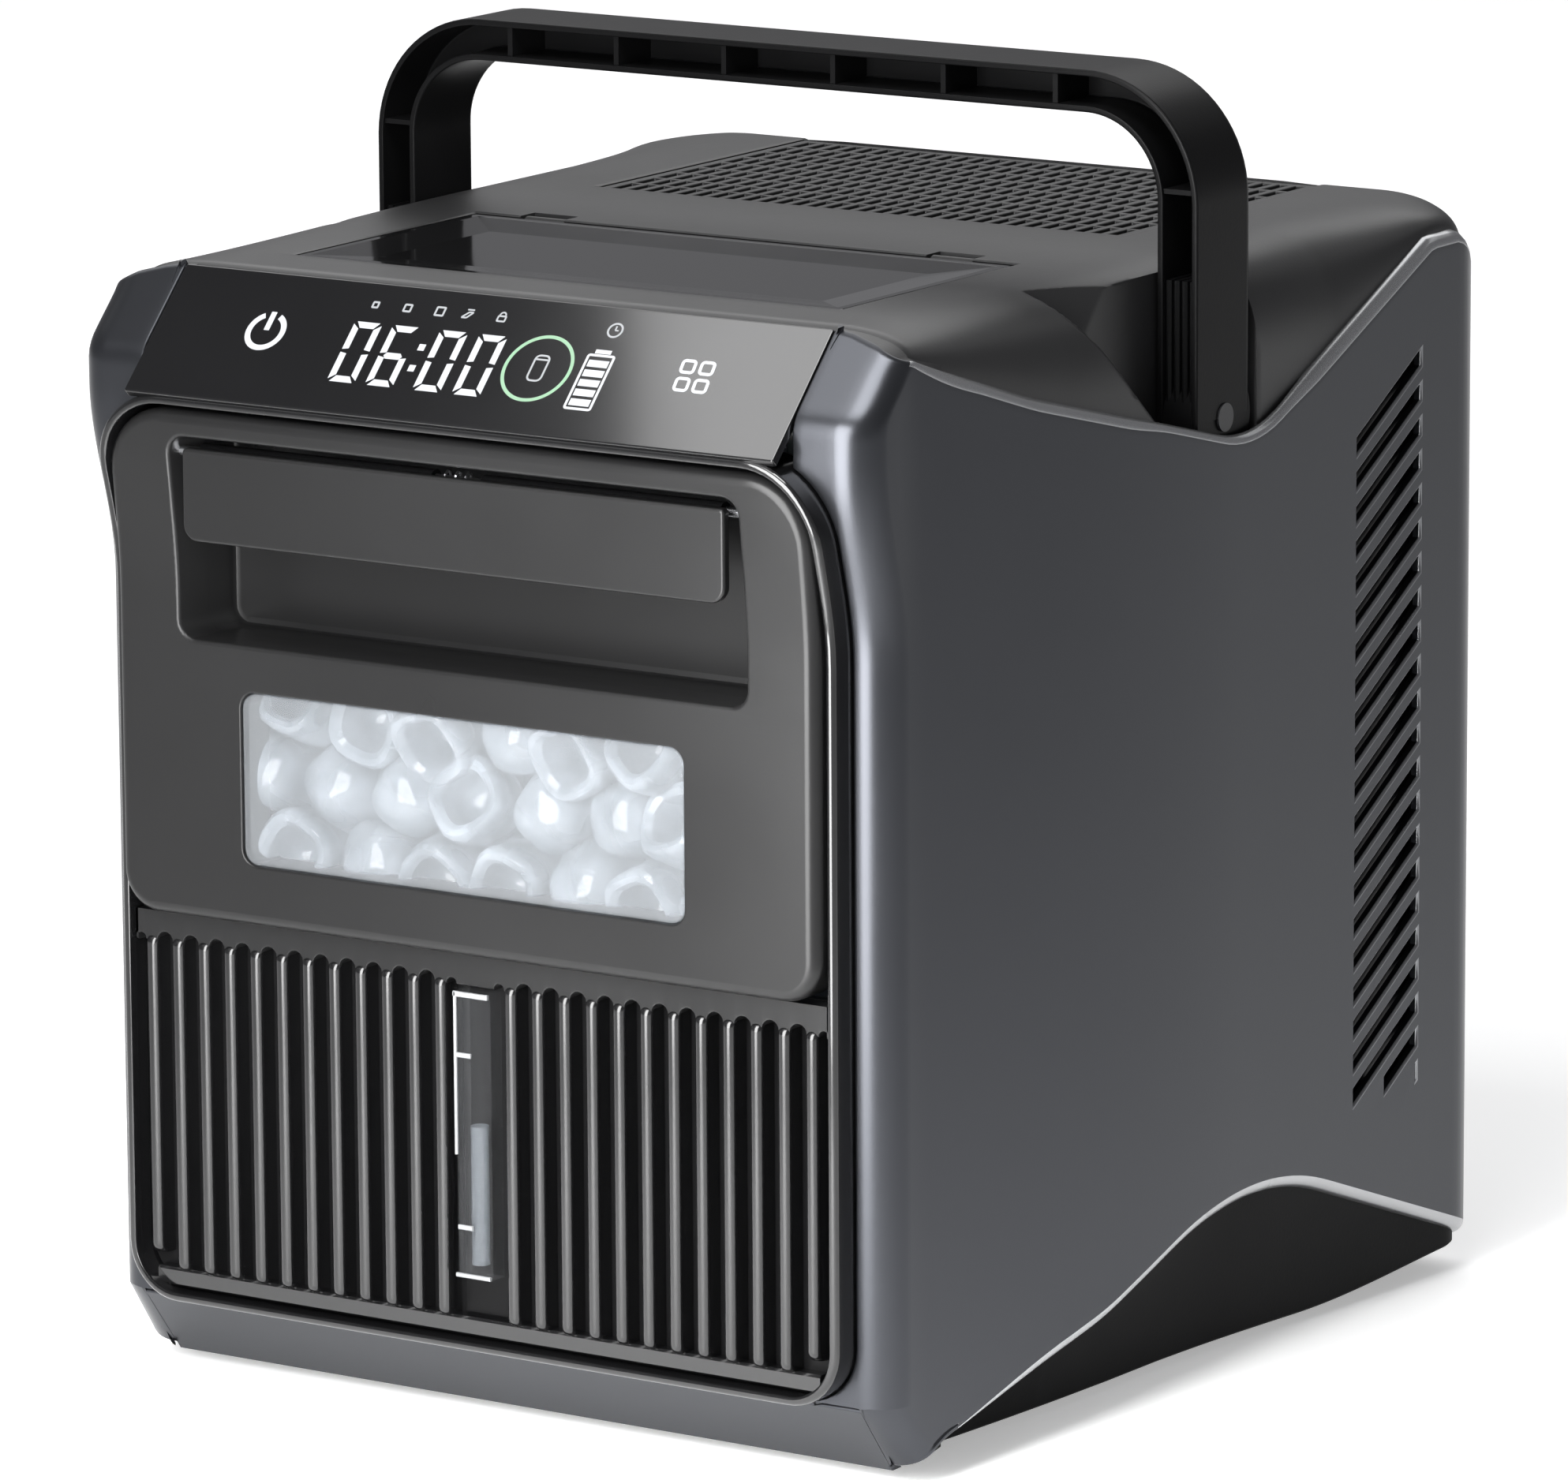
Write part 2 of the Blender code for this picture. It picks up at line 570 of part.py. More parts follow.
def top_grille():
    low, high = GRILLE_DEPTH
    half = GRILLE_HALF - GAP
    grille = block("top_grille", (-half, half), (low + GAP, high - GAP), (0.2680, 0.2731))
    join(grille, block("grille_flange", (-0.080, 0.080), (low - 0.003, high - 0.0003), (0.2674, 0.2694)))
    count, rows = 12, 2
    pitch = 2 * (GRILLE_HALF - 0.002) / count
    length = (high - low - 0.004) / rows
    bm = bmesh.new()
    for i in range(count):
        x = -GRILLE_HALF + 0.002 + pitch * (i + 0.5)
        for j in range(rows):
            d = low + 0.002 + length * (j + 0.5)
            size = Matrix.Diagonal((pitch * 0.55, length - 0.003, 0.02, 1))
            place = Matrix.Translation((x, world_y(d), 0.271))
            bmesh.ops.create_cube(bm, size=1.0, matrix=place @ size)
    return cut(grille, add_object("grille_slots", bm))


def top_lid():
    lid = block("top_lid", (-LID_HALF, LID_HALF), LID_DEPTH, (0.2702, 0.2733))
    axis = (world_y(LID_AXIS[0]), LID_AXIS[1])
    for side, word in ((-1, "left"), (1, "right")):
        span = sorted((side * 0.053, side * 0.065))
        join(lid, block("lid_arm_" + word, span, (0.1125, LID_AXIS[0]), (0.2694, 0.2727)),
             round_bar("lid_knuckle_" + word, "x", axis, 0.0023, *span, 20))
    for side, word in ((-1, "left"), (1, "right")):
        bore = sorted((side * 0.051, side * 0.067))
        cut(lid, round_bar("lid_bore_" + word, "x", axis, 0.00135, *bore, 16))
    return lid


def lid_pin(word, side):
    axis = (world_y(LID_AXIS[0]), LID_AXIS[1])
    return round_bar("lid_pin_" + word, "x", axis, 0.0012, *sorted((side * 0.050, side * 0.068)), 16)


def rear_cover():
    cover = block("rear_cover", (-0.0975, 0.0975), (0.2643, 0.267), (0.0095, 0.2625))
    bm = bmesh.new()
    for i in range(10):
        size = Matrix.Diagonal((0.12, 0.02, 0.0035, 1))
        place = Matrix.Translation((0.0, world_y(0.2655), 0.155 + 0.0085 * i))
        bmesh.ops.create_cube(bm, size=1.0, matrix=place @ size)
    return cut(cover, add_object("rear_vents", bm),
               block("rear_inlet_hole", (0.0055, 0.0345), (0.25, 0.28), (0.0545, 0.0745)))


def base_pan():
    """Open pan whose sides lean out from the floor to the side panels."""
    def ring(z, inset):
        lean = (0.046 - z) * 0.30
        right = shell_half_outline(CHAMFER_Z, WALL + 0.0006 + lean + inset, 0.05, 0.05)
        shift = max(0.0, 0.021 - z) * 0.35
        points = [(x, min(y + shift, world_y(0.266))) for x, y in right]
        return [(x, y, z) for x, y in points] + [(-x, y, z) for x, y in reversed(points)]
    pan = loft("base_pan", [ring(BOTTOM_Z, 0.0), ring(0.021, 0.0), ring(0.046, 0.0)])
    hollow = loft("base_hollow", [ring(BOTTOM_Z + 0.0025, 0.0022), ring(0.021, 0.0022), ring(0.06, 0.0022)])
    front_room = block("base_front_room", (-0.15, 0.15), (-0.02, BEZEL_BACK + 0.0004), (0.0, 0.06))
    lip_room = block("base_rear_room", (-0.15, 0.15), (0.2638, 0.28), (0.0, 0.06))
    drain = round_bar("base_drain_hole", "z", (0.06, world_y(0.06)), 0.0095, -0.01, 0.02)
    return cut(pan, hollow, front_room, lip_room, drain)


def foot(name, x, depth):
    profile = [(0.0058, 0.0), (0.0068, 0.0008), (0.0068, BOTTOM_Z - GAP)]
    return turned(name, (x, world_y(depth)), profile, 16)


# ---------------------------------------------------------------- handle
def handle_section(thick):
    """Channel section (outward, depth), open to the front."""
    wall, floor = 0.0017, HANDLE_DEPTH[0] + 0.0150
    front, back = HANDLE_DEPTH
    half = thick / 2
    return [(-half, front), (-half, back), (half, back), (half, front),
            (half - wall, front), (half - wall, floor), (-half + wall, floor), (-half + wall, front)]


def handle():
    """U-shaped bail: one channel section swept up one leg, over the bar and down the other."""
    leg_x = HANDLE_HALF - LEG_THICK / 2
    bar_z = HANDLE_TOP - BAR_THICK / 2
    bend = [math.radians(a) for a in range(0, 91, 15)]
    stations = [(leg_x, HANDLE_AXIS[1], 0.0)]
    centre_x, centre_z = leg_x - HANDLE_BEND_R, bar_z - HANDLE_BEND_R
    stations += [(centre_x + HANDLE_BEND_R * math.cos(a), centre_z + HANDLE_BEND_R * math.sin(a), a)
                 for a in bend]
    stations += [(-x, z, math.pi - a) for x, z, a in reversed(stations)]
    rings = []
    for x, z, angle in stations:
        thick = LEG_THICK + (BAR_THICK - LEG_THICK) * math.sin(angle)
        rings.append([(x + n * math.cos(angle), world_y(d), z + n * math.sin(angle))
                      for n, d in handle_section(thick)])
    bail = loft("handle", rings)
    axis = (world_y(HANDLE_AXIS[0]), HANDLE_AXIS[1])
    rib = (HANDLE_DEPTH[0] + 0.0006, HANDLE_DEPTH[0] + 0.016)
    for i in range(6):
        x = HANDLE_RIB_PITCH * (i - 2.5)
        z = (HANDLE_TOP - BAR_THICK + 0.0005, HANDLE_TOP - 0.0005)
        join(bail, block("handle_rib_%d" % i, (x - 0.0007, x + 0.0007), rib, z))
    for side, word in ((-1, "left"), (1, "right")):
        x = sorted((side * (HANDLE_HALF - LEG_THICK + 0.0005), side * (HANDLE_HALF - 0.0005)))
        leg = sorted((side * (HANDLE_HALF - LEG_THICK), side * HANDLE_HALF))
        bore = sorted((side * 0.10, side * 0.13))
        join(bail, block("handle_leg_rib_" + word, x, rib, (0.2905, 0.2919)),
             block("handle_leg_core_" + word, x, rib, (HANDLE_AXIS[1] - 0.004, 0.270)),
             round_bar("handle_boss_" + word, "x", axis, 0.0128, *leg, FINE))
        cut(bail, round_bar("handle_bore_" + word, "x", axis, HANDLE_BORE_R, *bore, 20))
    return bail


def handle_bracket(name, side):
    """Steel plate inside the top cover that holds one handle pin."""
    plate = block(name, sorted((side * 0.1037, side * 0.1062)), (0.1275, 0.1595), (0.206, 0.256))
    axis = (world_y(HANDLE_AXIS[0]), HANDLE_AXIS[1])
    hole = sorted((side * 0.09, side * 0.12))
    return cut(plate, round_bar(name + "_hole", "x", axis, HANDLE_BORE_R, *hole, 20))


def handle_pin(name, side):
    axis = (world_y(HANDLE_AXIS[0]), HANDLE_AXIS[1])
    pin = round_bar(name, "x", axis, 0.0035, *sorted((side * 0.1015, side * 0.1194)), 20)
    head = sorted((side * 0.1000, side * 0.1033))
    return join(pin, round_bar(name + "_head", "x", axis, 0.0060, *head, 20))


# ---------------------------------------------------------------- drawer
def drawer_front():
    outline = round_rect(DOOR_HALF, DOOR_Z, 0.017, 0.010)
    door = prism("drawer_front", outline, "y", world_y(-0.03), world_y(DOOR_BACK))
    face = swept_profile(DOOR_FACE, DOOR_SWEEP, (DOOR_Z[0] - 0.01, DOOR_Z[1] + 0.01), DOOR_BACK + 0.02)
    keep_inside(door, prism("door_face", face, "x", -0.12, 0.12))
    join(door, block("door_pocket_shell", (-0.0835, 0.0835), (0.001, 0.0185), (0.1842, 0.2395)))
    pocket = prism("door_pocket", round_rect(POCKET_HALF, POCKET_Z, 0.0045, 0.0045, 3), "y",
                   world_y(-0.04), world_y(POCKET_BACK))
    window = prism("door_window_hole", round_rect(WINDOW_HALF, WINDOW_Z, 0.004, 0.004, 3), "y",
                   world_y(-0.04), world_y(0.01))
    back_room = block("door_back_room", (-0.0965, 0.0965), (DOOR_FACE + DOOR_SKIN, 0.03), (0.1217, 0.1812))
    axis = (world_y(LATCH_AXIS[0]), LATCH_AXIS[1])
    pin_hole = round_bar("door_pin_hole", "x", axis, 0.00135, -0.0838, 0.0838, 16)
    return cut(door, pocket, window, back_room, pin_hole)


def ice_window():
    z = (WINDOW_Z[0] + GAP, WINDOW_Z[1] - GAP)
    pane = prism("ice_window", round_rect(WINDOW_HALF - GAP, z, 0.0038, 0.0038, 3), "y",
                 world_y(DOOR_FACE + 0.0003), world_y(-0.0025))
    return join(pane, block("window_flange", (-0.067, 0.067), (-0.0035, -0.0015), (0.1298, 0.1796)))


def latch_paddle():
    front, thick = PADDLE_FACE, 0.0022
    outline = round_rect(PADDLE_HALF, PADDLE_Z, 0.001, 0.004, 3)
    paddle = prism("latch_paddle", outline, "y", world_y(front), world_y(front + thick))
    axis = (world_y(LATCH_AXIS[0]), LATCH_AXIS[1])
    for side, word in ((-1, "left"), (1, "right")):
        span = sorted((side * 0.007, side * 0.074))
        join(paddle, block("paddle_web_" + word, span, (front + 0.001, LATCH_AXIS[0]), (0.2308, 0.2336)),
             round_bar("paddle_roll_" + word, "x", axis, 0.0023, *span, 16))
    return cut(paddle, round_bar("paddle_bore", "x", axis, 0.00135, -0.09, 0.09, 16))


def latch_pin():
    return round_bar("latch_pin", "x", (world_y(LATCH_AXIS[0]), LATCH_AXIS[1]), 0.0012, -0.083, 0.083, 16)


def latch_spring():
    """Torsion spring on the middle of the latch pin."""
    turns, steps, radius, width = 3, 8, 0.0022, 0.0088
    points = []
    for i in range(turns * steps + 1):
        turn = 2 * math.pi * i / steps
        points.append((width * (i / (turns * steps) - 0.5), LATCH_AXIS[0] + radius * math.cos(turn),
                       LATCH_AXIS[1] + radius * math.sin(turn)))
    return tube("latch_spring", points, 0.00035, 1, 1)


def ice_basket():
    """Open-topped bin, open at the front, where the window closes it; runners on its sides."""
    low, high = BASKET_DEPTH
    basket = block("ice_basket", (-BASKET_HALF, BASKET_HALF), (low, high), BASKET_Z)
    for side, word in ((-1, "left"), (1, "right")):
        runner = sorted((side * 0.074, side * 0.093))
        join(basket, block("basket_runner_" + word, runner, (0.024, high - 0.002), (0.150, 0.1524)))
    half, floor = BASKET_HALF - 0.002, BASKET_Z[0] + 0.0022
    hollow = block("basket_hollow", (-half, half), (low - 0.01, high - 0.002), (floor, 0.25))
    return cut(basket, hollow)


def drawer_rail(name, side):
    """Bracket with the ledge that a basket runner slides on."""
    outline = [(0.078, 0.1462), (0.0965, 0.1462), (0.0965, 0.118), (0.0985, 0.118),
               (0.0985, 0.186), (0.0965, 0.186), (0.0965, 0.1492), (0.078, 0.1492)]
    return prism(name, [(side * x, z) for x, z in outline], "y", world_y(0.021), world_y(0.122))


# ---------------------------------------------------------------- water side
def lower_front():
    z = (BEZEL_Z[0] + BEZEL_STRIP + 0.0004, DOOR_Z[0] - 0.0006)
    plate = prism("lower_front", round_rect(BEZEL_HALF - BEZEL_STRIP - 0.0004, z, 0.002, 0.0118), "y",
                  world_y(FRONT_PLATE[0]), world_y(FRONT_PLATE[1]))
    for side, word in ((-1, "left"), (1, "right")):
        for i in range(RIB_COUNT):
            x = side * (RIB_OUTER - RIB_PITCH * i)
            height = (RIB_Z[0] + (0.004 if i == 0 else 0.0), RIB_Z[1])
            join(plate, block("rib_%s_%d" % (word, i), (x - RIB_WIDTH / 2, x + RIB_WIDTH / 2),
                              (RIB_FACE, FRONT_PLATE[0] + 0.001), height))
    return plate


def level_gauge():
    gauge = block("level_gauge", (-0.005, 0.005), (-0.0042, FRONT_PLATE[0] - GAP), (0.0397, 0.1094))
    return cut(gauge, block("gauge_bore", (-0.0036, 0.0036), (-0.003, 0.0015), (0.042, 0.12)))


def water_reservoir():
    tank = block("water_reservoir", (-0.094, 0.094), (0.0182, 0.112), (0.0195, 0.108))
    hollow = block("reservoir_hollow", (-0.0915, 0.0915), (0.0207, 0.1095), (0.022, 0.15))
    drain = round_bar("reservoir_drain_hole", "z", (0.06, world_y(0.06)), 0.0052, 0.0, 0.03)
    return cut(tank, hollow, drain)


def drain_plug():
    profile = [(0.0085, 0.0012), (0.009, 0.002), (0.009, 0.0102), (0.0049, 0.0108), (0.0049, 0.0235),
               (0.0040, 0.0245)]
    return turned("drain_plug", (0.06, world_y(0.06)), profile, 16)


def water_pump():
    profile = [(0.014, 0.0223), (0.015, 0.024), (0.015, 0.040), (0.0095, 0.0415), (0.0095, 0.0560),
               (0.0085, 0.0575), (0.0034, 0.0578), (0.0034, 0.0640)]
    return turned("water_pump", (-0.06, world_y(0.085)), profile, 16)


def pump_hose():
    points = [(-0.060, 0.085, 0.0645), (-0.060, 0.0852, 0.084), (-0.0602, 0.088, 0.102),
              (-0.061, 0.099, 0.1128), (-0.064, 0.111, 0.1152), (-0.0675, 0.1178, 0.124),
              (-0.069, 0.119, 0.150), (-0.0692, 0.119, 0.190), (-0.0690, 0.1180, 0.226),
              (-0.068, 0.113, 0.240), (-0.064, 0.1045, 0.2462)]
    return tube("pump_hose", points, 0.0031, 2, 1)


def chamber_frame():
    """Bridge over the water tray: two cheeks and a roof that carries the evaporator."""
    outline = [(-0.0610, 0.186), (-0.0590, 0.186), (-0.0590, 0.2575), (0.0590, 0.2575),
               (0.0590, 0.186), (0.0610, 0.186), (0.0610, 0.2595), (-0.0610, 0.2595)]
    frame = prism("chamber_frame", outline, "y", world_y(0.044), world_y(0.109))
    axis = (world_y(TRAY_AXIS[0]), TRAY_AXIS[1])
    roof_hole = block("frame_pipe_hole", (-0.030, 0.030), (0.066, 0.095), (0.25, 0.27))
    return cut(frame, round_bar("frame_axle_hole", "x", axis, 0.0033, -0.07, 0.07, 20), roof_hole)


def evaporator():
    """Cold plate with three rows of freezing fingers that dip into the tray, and its neck."""
    depth = TRAY_AXIS[0]
    plate = block("evaporator", (-0.046, 0.046), (depth - 0.018, depth + 0.018), (0.2365, 0.2415))
    bridge = block("evaporator_neck", (-0.024, 0.024), (depth - 0.007, depth + 0.007), (0.2405, 0.2600))
    join(plate, bridge)
    for i in range(3):
        for j in range(3):
            centre = (0.032 * (i - 1), world_y(depth + 0.012 * (j - 1)))
            join(plate, round_bar("finger_%d_%d" % (i, j), "z", centre, 0.0032, 0.2028, 0.2385, 12, 0.0040))
    return plate


def water_tray():
    """Half-round trough that turns about its own axis, with a stub axle at each end."""
    depth, z = TRAY_AXIS
    arc = [math.radians(180 + 15 * k) for k in range(13)]
    inner_r = TRAY_R - 0.0018
    outer = [(world_y(depth) + TRAY_R * math.cos(a), z + TRAY_R * math.sin(a)) for a in arc]
    inner = [(world_y(depth) + inner_r * math.cos(a), z + inner_r * math.sin(a)) for a in arc]
    tray = prism("water_tray", outer, "x", -0.056, 0.056)
    inner = [(inner[0][0], z + 0.01)] + inner + [(inner[-1][0], z + 0.01)]
    cut(tray, prism("tray_hollow", inner, "x", -0.054, 0.054))
    axis = (world_y(depth), z - 0.0002)
    for side, word in ((-1, "left"), (1, "right")):
        span = sorted((side * 0.0545, side * 0.0655))
        join(tray, round_bar("tray_stub_" + word, "x", axis, 0.003, *span, 20))
    return tray


def tray_motor():
    axis = (world_y(TRAY_AXIS[0]), TRAY_AXIS[1])
    ears = (TRAY_AXIS[0] - 0.019, TRAY_AXIS[0] + 0.019)
    motor = round_bar("tray_motor", "x", axis, 0.0125, 0.0613, 0.0770, MEDIUM)
    join(motor, block("motor_ears", (0.0613, 0.0635), ears, (0.2165, 0.2295)))
    return cut(motor, round_bar("motor_socket", "x", axis, 0.0033, 0.055, 0.068, 20))


def chassis_wall():
    """Wall between the wet front half and the dry rear half."""
    wall = block("chassis_wall", (-0.1035, 0.1035), (0.1242, 0.1262), (0.0075, 0.2625))
    slot = block("wall_pipe_slot", (-0.030, 0.012), (0.11, 0.14), (0.242, 0.28))
    return cut(wall, slot)


# ---------------------------------------------------------------- cooling side
def compressor():
    profile = [(0.030, 0.0135), (0.043, 0.020), (0.0455, 0.030), (0.0455, 0.062), (0.0470, 0.063),
               (0.0470, 0.066), (0.0455, 0.067), (0.0455, 0.100), (0.040, 0.114), (0.028, 0.121),
               (0.010, 0.123)]
    can = turned("compressor", (-0.050, world_y(0.192)), profile, 24)
    foot_plate = block("compressor_plate", (-0.097, -0.003), (0.150, 0.234), (0.0085, 0.0145))
    return join(can, foot_plate)


def condenser():
    """Finned block that the fan blows through, towards the right-hand louvres."""
    block_x = (0.094, 0.1125)
    core = block("condenser", block_x, (0.166, 0.252), (0.060, 0.216))
    bm = bmesh.new()
    for i in range(8):
        z = 0.0665 + 0.0190 * i
        size = Matrix.Diagonal((0.0065, 0.2, 0.013, 1))
        for x in (block_x[0], block_x[1]):
            place = Matrix.Translation((x, world_y(0.209), z))
            bmesh.ops.create_cube(bm, size=1.0, matrix=place @ size)
    return cut(core, add_object("condenser_grooves", bm))


def fan_shroud():
    depth, z = FAN_CENTRE
    frame = block("fan_shroud", (0.0785, 0.0935), (depth - 0.046, depth + 0.046), (z - 0.046, z + 0.046))
    cut(frame, round_bar("shroud_hole", "x", (world_y(depth), z), FAN_R + 0.0018, 0.07, 0.10, FINE))
    for i in range(3):
        turn = math.radians(90 + 120 * i)
        end = (depth + 0.044 * math.cos(turn), z + 0.044 * math.sin(turn))
        side = (0.0022 * math.sin(turn), 0.0022 * math.cos(turn))
        outline = [(depth + side[0], z - side[1]), (end[0] + side[0], end[1] - side[1]),
                   (end[0] - side[0], end[1] + side[1]), (depth - side[0], z + side[1])]
        join(frame, prism("shroud_arm_%d" % i, [(world_y(d), h) for d, h in outline], "x", 0.0787, 0.0806))
    return cut(frame, round_bar("shroud_motor_hole", "x", (world_y(depth), z), 0.0030, 0.07, 0.0815, 16))


def fan_motor():
    centre = (world_y(FAN_CENTRE[0]), FAN_CENTRE[1])
    motor = round_bar("fan_motor", "x", centre, 0.0165, 0.0640, 0.0783, MEDIUM)
    return join(motor, round_bar("fan_axle", "x", centre, 0.0024, 0.0775, 0.0875, 16))


def fan_rotor():
    depth, z = FAN_CENTRE
    centre = (world_y(depth), z)
    rotor = round_bar("fan_rotor", "x", centre, 0.0135, 0.0818, 0.0922, MEDIUM)
    for i in range(7):
        turn = 2 * math.pi * i / 7
        rings = []
        for radius, low, high in ((0.0125, 0.0822, 0.0918), (FAN_R, 0.0828, 0.0905)):
            ring = []
            for x, spread in ((low, -0.009), (low + 0.0014, -0.010), (high, 0.009), (high - 0.0014, 0.010)):
                a = turn + spread / 0.0125 * (0.5 if radius > 0.02 else 0.85) * 0.8
                ring.append((x, centre[0] + radius * math.cos(a), z + radius * math.sin(a)))
            rings.append(ring)
        join(rotor, loft("fan_blade_%d" % i, rings))
    return cut(rotor, round_bar("rotor_bore", "x", centre, 0.0027, 0.075, 0.0885, 16))


def suction_pipe():
    points = [(-0.016, 0.0905, 0.2634), (-0.016, 0.104, 0.2636), (-0.014, 0.120, 0.2595),
              (-0.010, 0.132, 0.2470), (0.004, 0.1375, 0.225), (0.012, 0.139, 0.180),
              (0.010, 0.143, 0.140), (-0.004, 0.1535, 0.110), (-0.0055, 0.165, 0.096),
              (-0.003, 0.171, 0.090)]
    return tube("suction_pipe", points, 0.0024, 3, 1)


def hot_gas_pipe():
    points = [(-0.030, 0.226, 0.121), (-0.018, 0.236, 0.131), (0.010, 0.243, 0.134),
              (0.040, 0.2465, 0.120), (0.060, 0.2485, 0.095), (0.078, 0.2485, 0.070),
              (0.0880, 0.2460, 0.063), (0.0935, 0.2440, 0.0635)]
    return tube("hot_gas_pipe", points, 0.0021, 3, 1)


def filter_drier():
    profile = [(0.0025, 0.050), (0.0075, 0.056), (0.0075, 0.104), (0.0025, 0.110)]
    return turned("filter_drier", (0.034, world_y(0.146)), profile, 20)


def battery_pack():
    pack = block("battery_pack", (-0.100, 0.045), (0.162, 0.252), (0.152, 0.214))
    return join(pack, block("battery_label_rail", (-0.098, 0.043), (0.166, 0.248), (0.2135, 0.2165)))


def main_board():
    board = block("main_board", (-0.095, 0.045), (0.164, 0.250), (0.2230, 0.2246))
    join(board, block("board_transformer", (-0.080, -0.048), (0.176, 0.208), (0.224, 0.246)),
         block("board_heat_sink", (-0.030, 0.006), (0.176, 0.190), (0.224, 0.250)))
    for i in range(3):
        centre = (0.016 + 0.011 * (i - 1), world_y(0.230))
        join(board, round_bar("board_capacitor_%d" % i, "z", centre, 0.0045, 0.2235, 0.2400, 12))
    return board


def power_inlet():
    """Mains inlet: a flange on the rear cover and a socket body behind it."""
    inlet = block("power_inlet", (0.0028, 0.0372), (0.2673, 0.268), (0.0522, 0.0768))
    join(inlet, block("inlet_body", (0.0060, 0.0340), (0.2440, 0.2678), (0.0550, 0.0740)))
    return cut(inlet, block("inlet_cavity", (0.0090, 0.0310), (0.2510, 0.2720), (0.0575, 0.0715)))


def rear_screw(name, x, z):
    return round_bar(name, "y", (x, z), 0.0030, world_y(0.2673), world_y(0.268), 16)


# ---------------------------------------------------------------- assembly
def paint(mats, slots):
    for slot, pieces in slots.items():
        for ob in pieces:
            ob.data.materials.append(mats[slot])


def build():
    clear_scene()
    mats = make_materials()
    sides = (("left", -1), ("right", 1))
    panels = [side_panel("side_panel_" + word, side) for word, side in sides]
    brackets = [handle_bracket("handle_bracket_" + word, side) for word, side in sides]
    handle_pins = [handle_pin("handle_pin_" + word, side) for word, side in sides]
    rails = [drawer_rail("drawer_rail_" + word, side) for word, side in sides]
    pins = [lid_pin(word, side) for word, side in sides]
    feet = [foot("foot_%s_%s" % (end, word), side * x, depth)
            for end, x, depth in (("front", 0.092, 0.045), ("rear", 0.096, 0.225)) for word, side in sides]
    screws = [rear_screw("rear_screw_%s_%s" % (level, word), side * 0.090, z)
              for level, z in (("low", 0.020), ("high", 0.252)) for word, side in sides]
    carried_handle = handle()
    door, pane, basket = drawer_front(), ice_window(), ice_basket()
    paddle, pin, spring = latch_paddle(), latch_pin(), latch_spring()
    lid, tray, rotor = top_lid(), water_tray(), fan_rotor()

    paint(mats, {
        "grey_shell": panels + [front_skirt()],
        "black_satin": [top_cover(), base_pan(), rear_cover(), carried_handle, top_grille(), door],
        "black_gloss": [front_bezel(), lower_front(), paddle],
        "dark_glass": [control_panel(), lid],
        "clear": [pane, level_gauge(), basket],
        "white_plastic": [water_reservoir(), water_pump(), chamber_frame(), tray, chassis_wall()],
        "rubber": feet + [drain_plug(), pump_hose()],
        "steel": rails + pins + brackets + [pin, spring],
        "copper": [suction_pipe(), hot_gas_pipe(), filter_drier()],
        "aluminium": [evaporator(), condenser()],
        "black_paint": handle_pins + screws + [compressor(), tray_motor(), fan_shroud(), fan_motor(),
                                               rotor, power_inlet()],
        "board_green": [display_board(), main_board()],
        "battery_blue": [battery_pack()],
    })

    hang_on(joint_empty("handle_hinge", (0, world_y(HANDLE_AXIS[0]), HANDLE_AXIS[1])), [carried_handle])
    hang_on(joint_empty("drawer_slide", (0, world_y(0.0), 0.151)), [door, pane, basket, pin, spring])
    hang_on(joint_empty("latch_hinge", (0, world_y(LATCH_AXIS[0]), LATCH_AXIS[1])), [paddle])
    hang_on(joint_empty("lid_hinge", (0, world_y(LID_AXIS[0]), LID_AXIS[1])), [lid])
    hang_on(joint_empty("tray_hinge", (0, world_y(TRAY_AXIS[0]), TRAY_AXIS[1])), [tray])
    hang_on(joint_empty("fan_axle_line", (0.087, world_y(FAN_CENTRE[0]), FAN_CENTRE[1])), [rotor])


build()
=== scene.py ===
"""Looks for the packed ice maker: fine shells, glossy front, ice, lit display and studio light.

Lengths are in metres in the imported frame: +Z up, the front faces -Y.  The body's form is given in
depths, measured back from the plane Y0, and heights.
"""
import json
import math
import random

import bmesh
import bpy
from mathutils import Euler, Matrix, Vector


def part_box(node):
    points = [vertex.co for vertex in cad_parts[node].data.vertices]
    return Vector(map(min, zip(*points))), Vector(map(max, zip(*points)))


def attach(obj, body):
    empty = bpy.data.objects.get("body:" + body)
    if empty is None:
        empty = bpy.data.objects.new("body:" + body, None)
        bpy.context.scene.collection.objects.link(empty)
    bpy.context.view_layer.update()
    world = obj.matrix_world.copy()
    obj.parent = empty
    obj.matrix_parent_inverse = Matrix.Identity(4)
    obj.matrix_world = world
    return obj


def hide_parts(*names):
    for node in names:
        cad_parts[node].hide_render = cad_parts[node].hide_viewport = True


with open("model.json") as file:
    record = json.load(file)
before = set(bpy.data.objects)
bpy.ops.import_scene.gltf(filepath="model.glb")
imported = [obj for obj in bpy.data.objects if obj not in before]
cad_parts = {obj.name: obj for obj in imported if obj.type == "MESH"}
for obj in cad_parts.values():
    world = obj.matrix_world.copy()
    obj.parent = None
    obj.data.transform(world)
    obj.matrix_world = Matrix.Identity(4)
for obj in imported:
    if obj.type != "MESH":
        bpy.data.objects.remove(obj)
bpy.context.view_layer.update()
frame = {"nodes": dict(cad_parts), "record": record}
nodes = frame["nodes"]

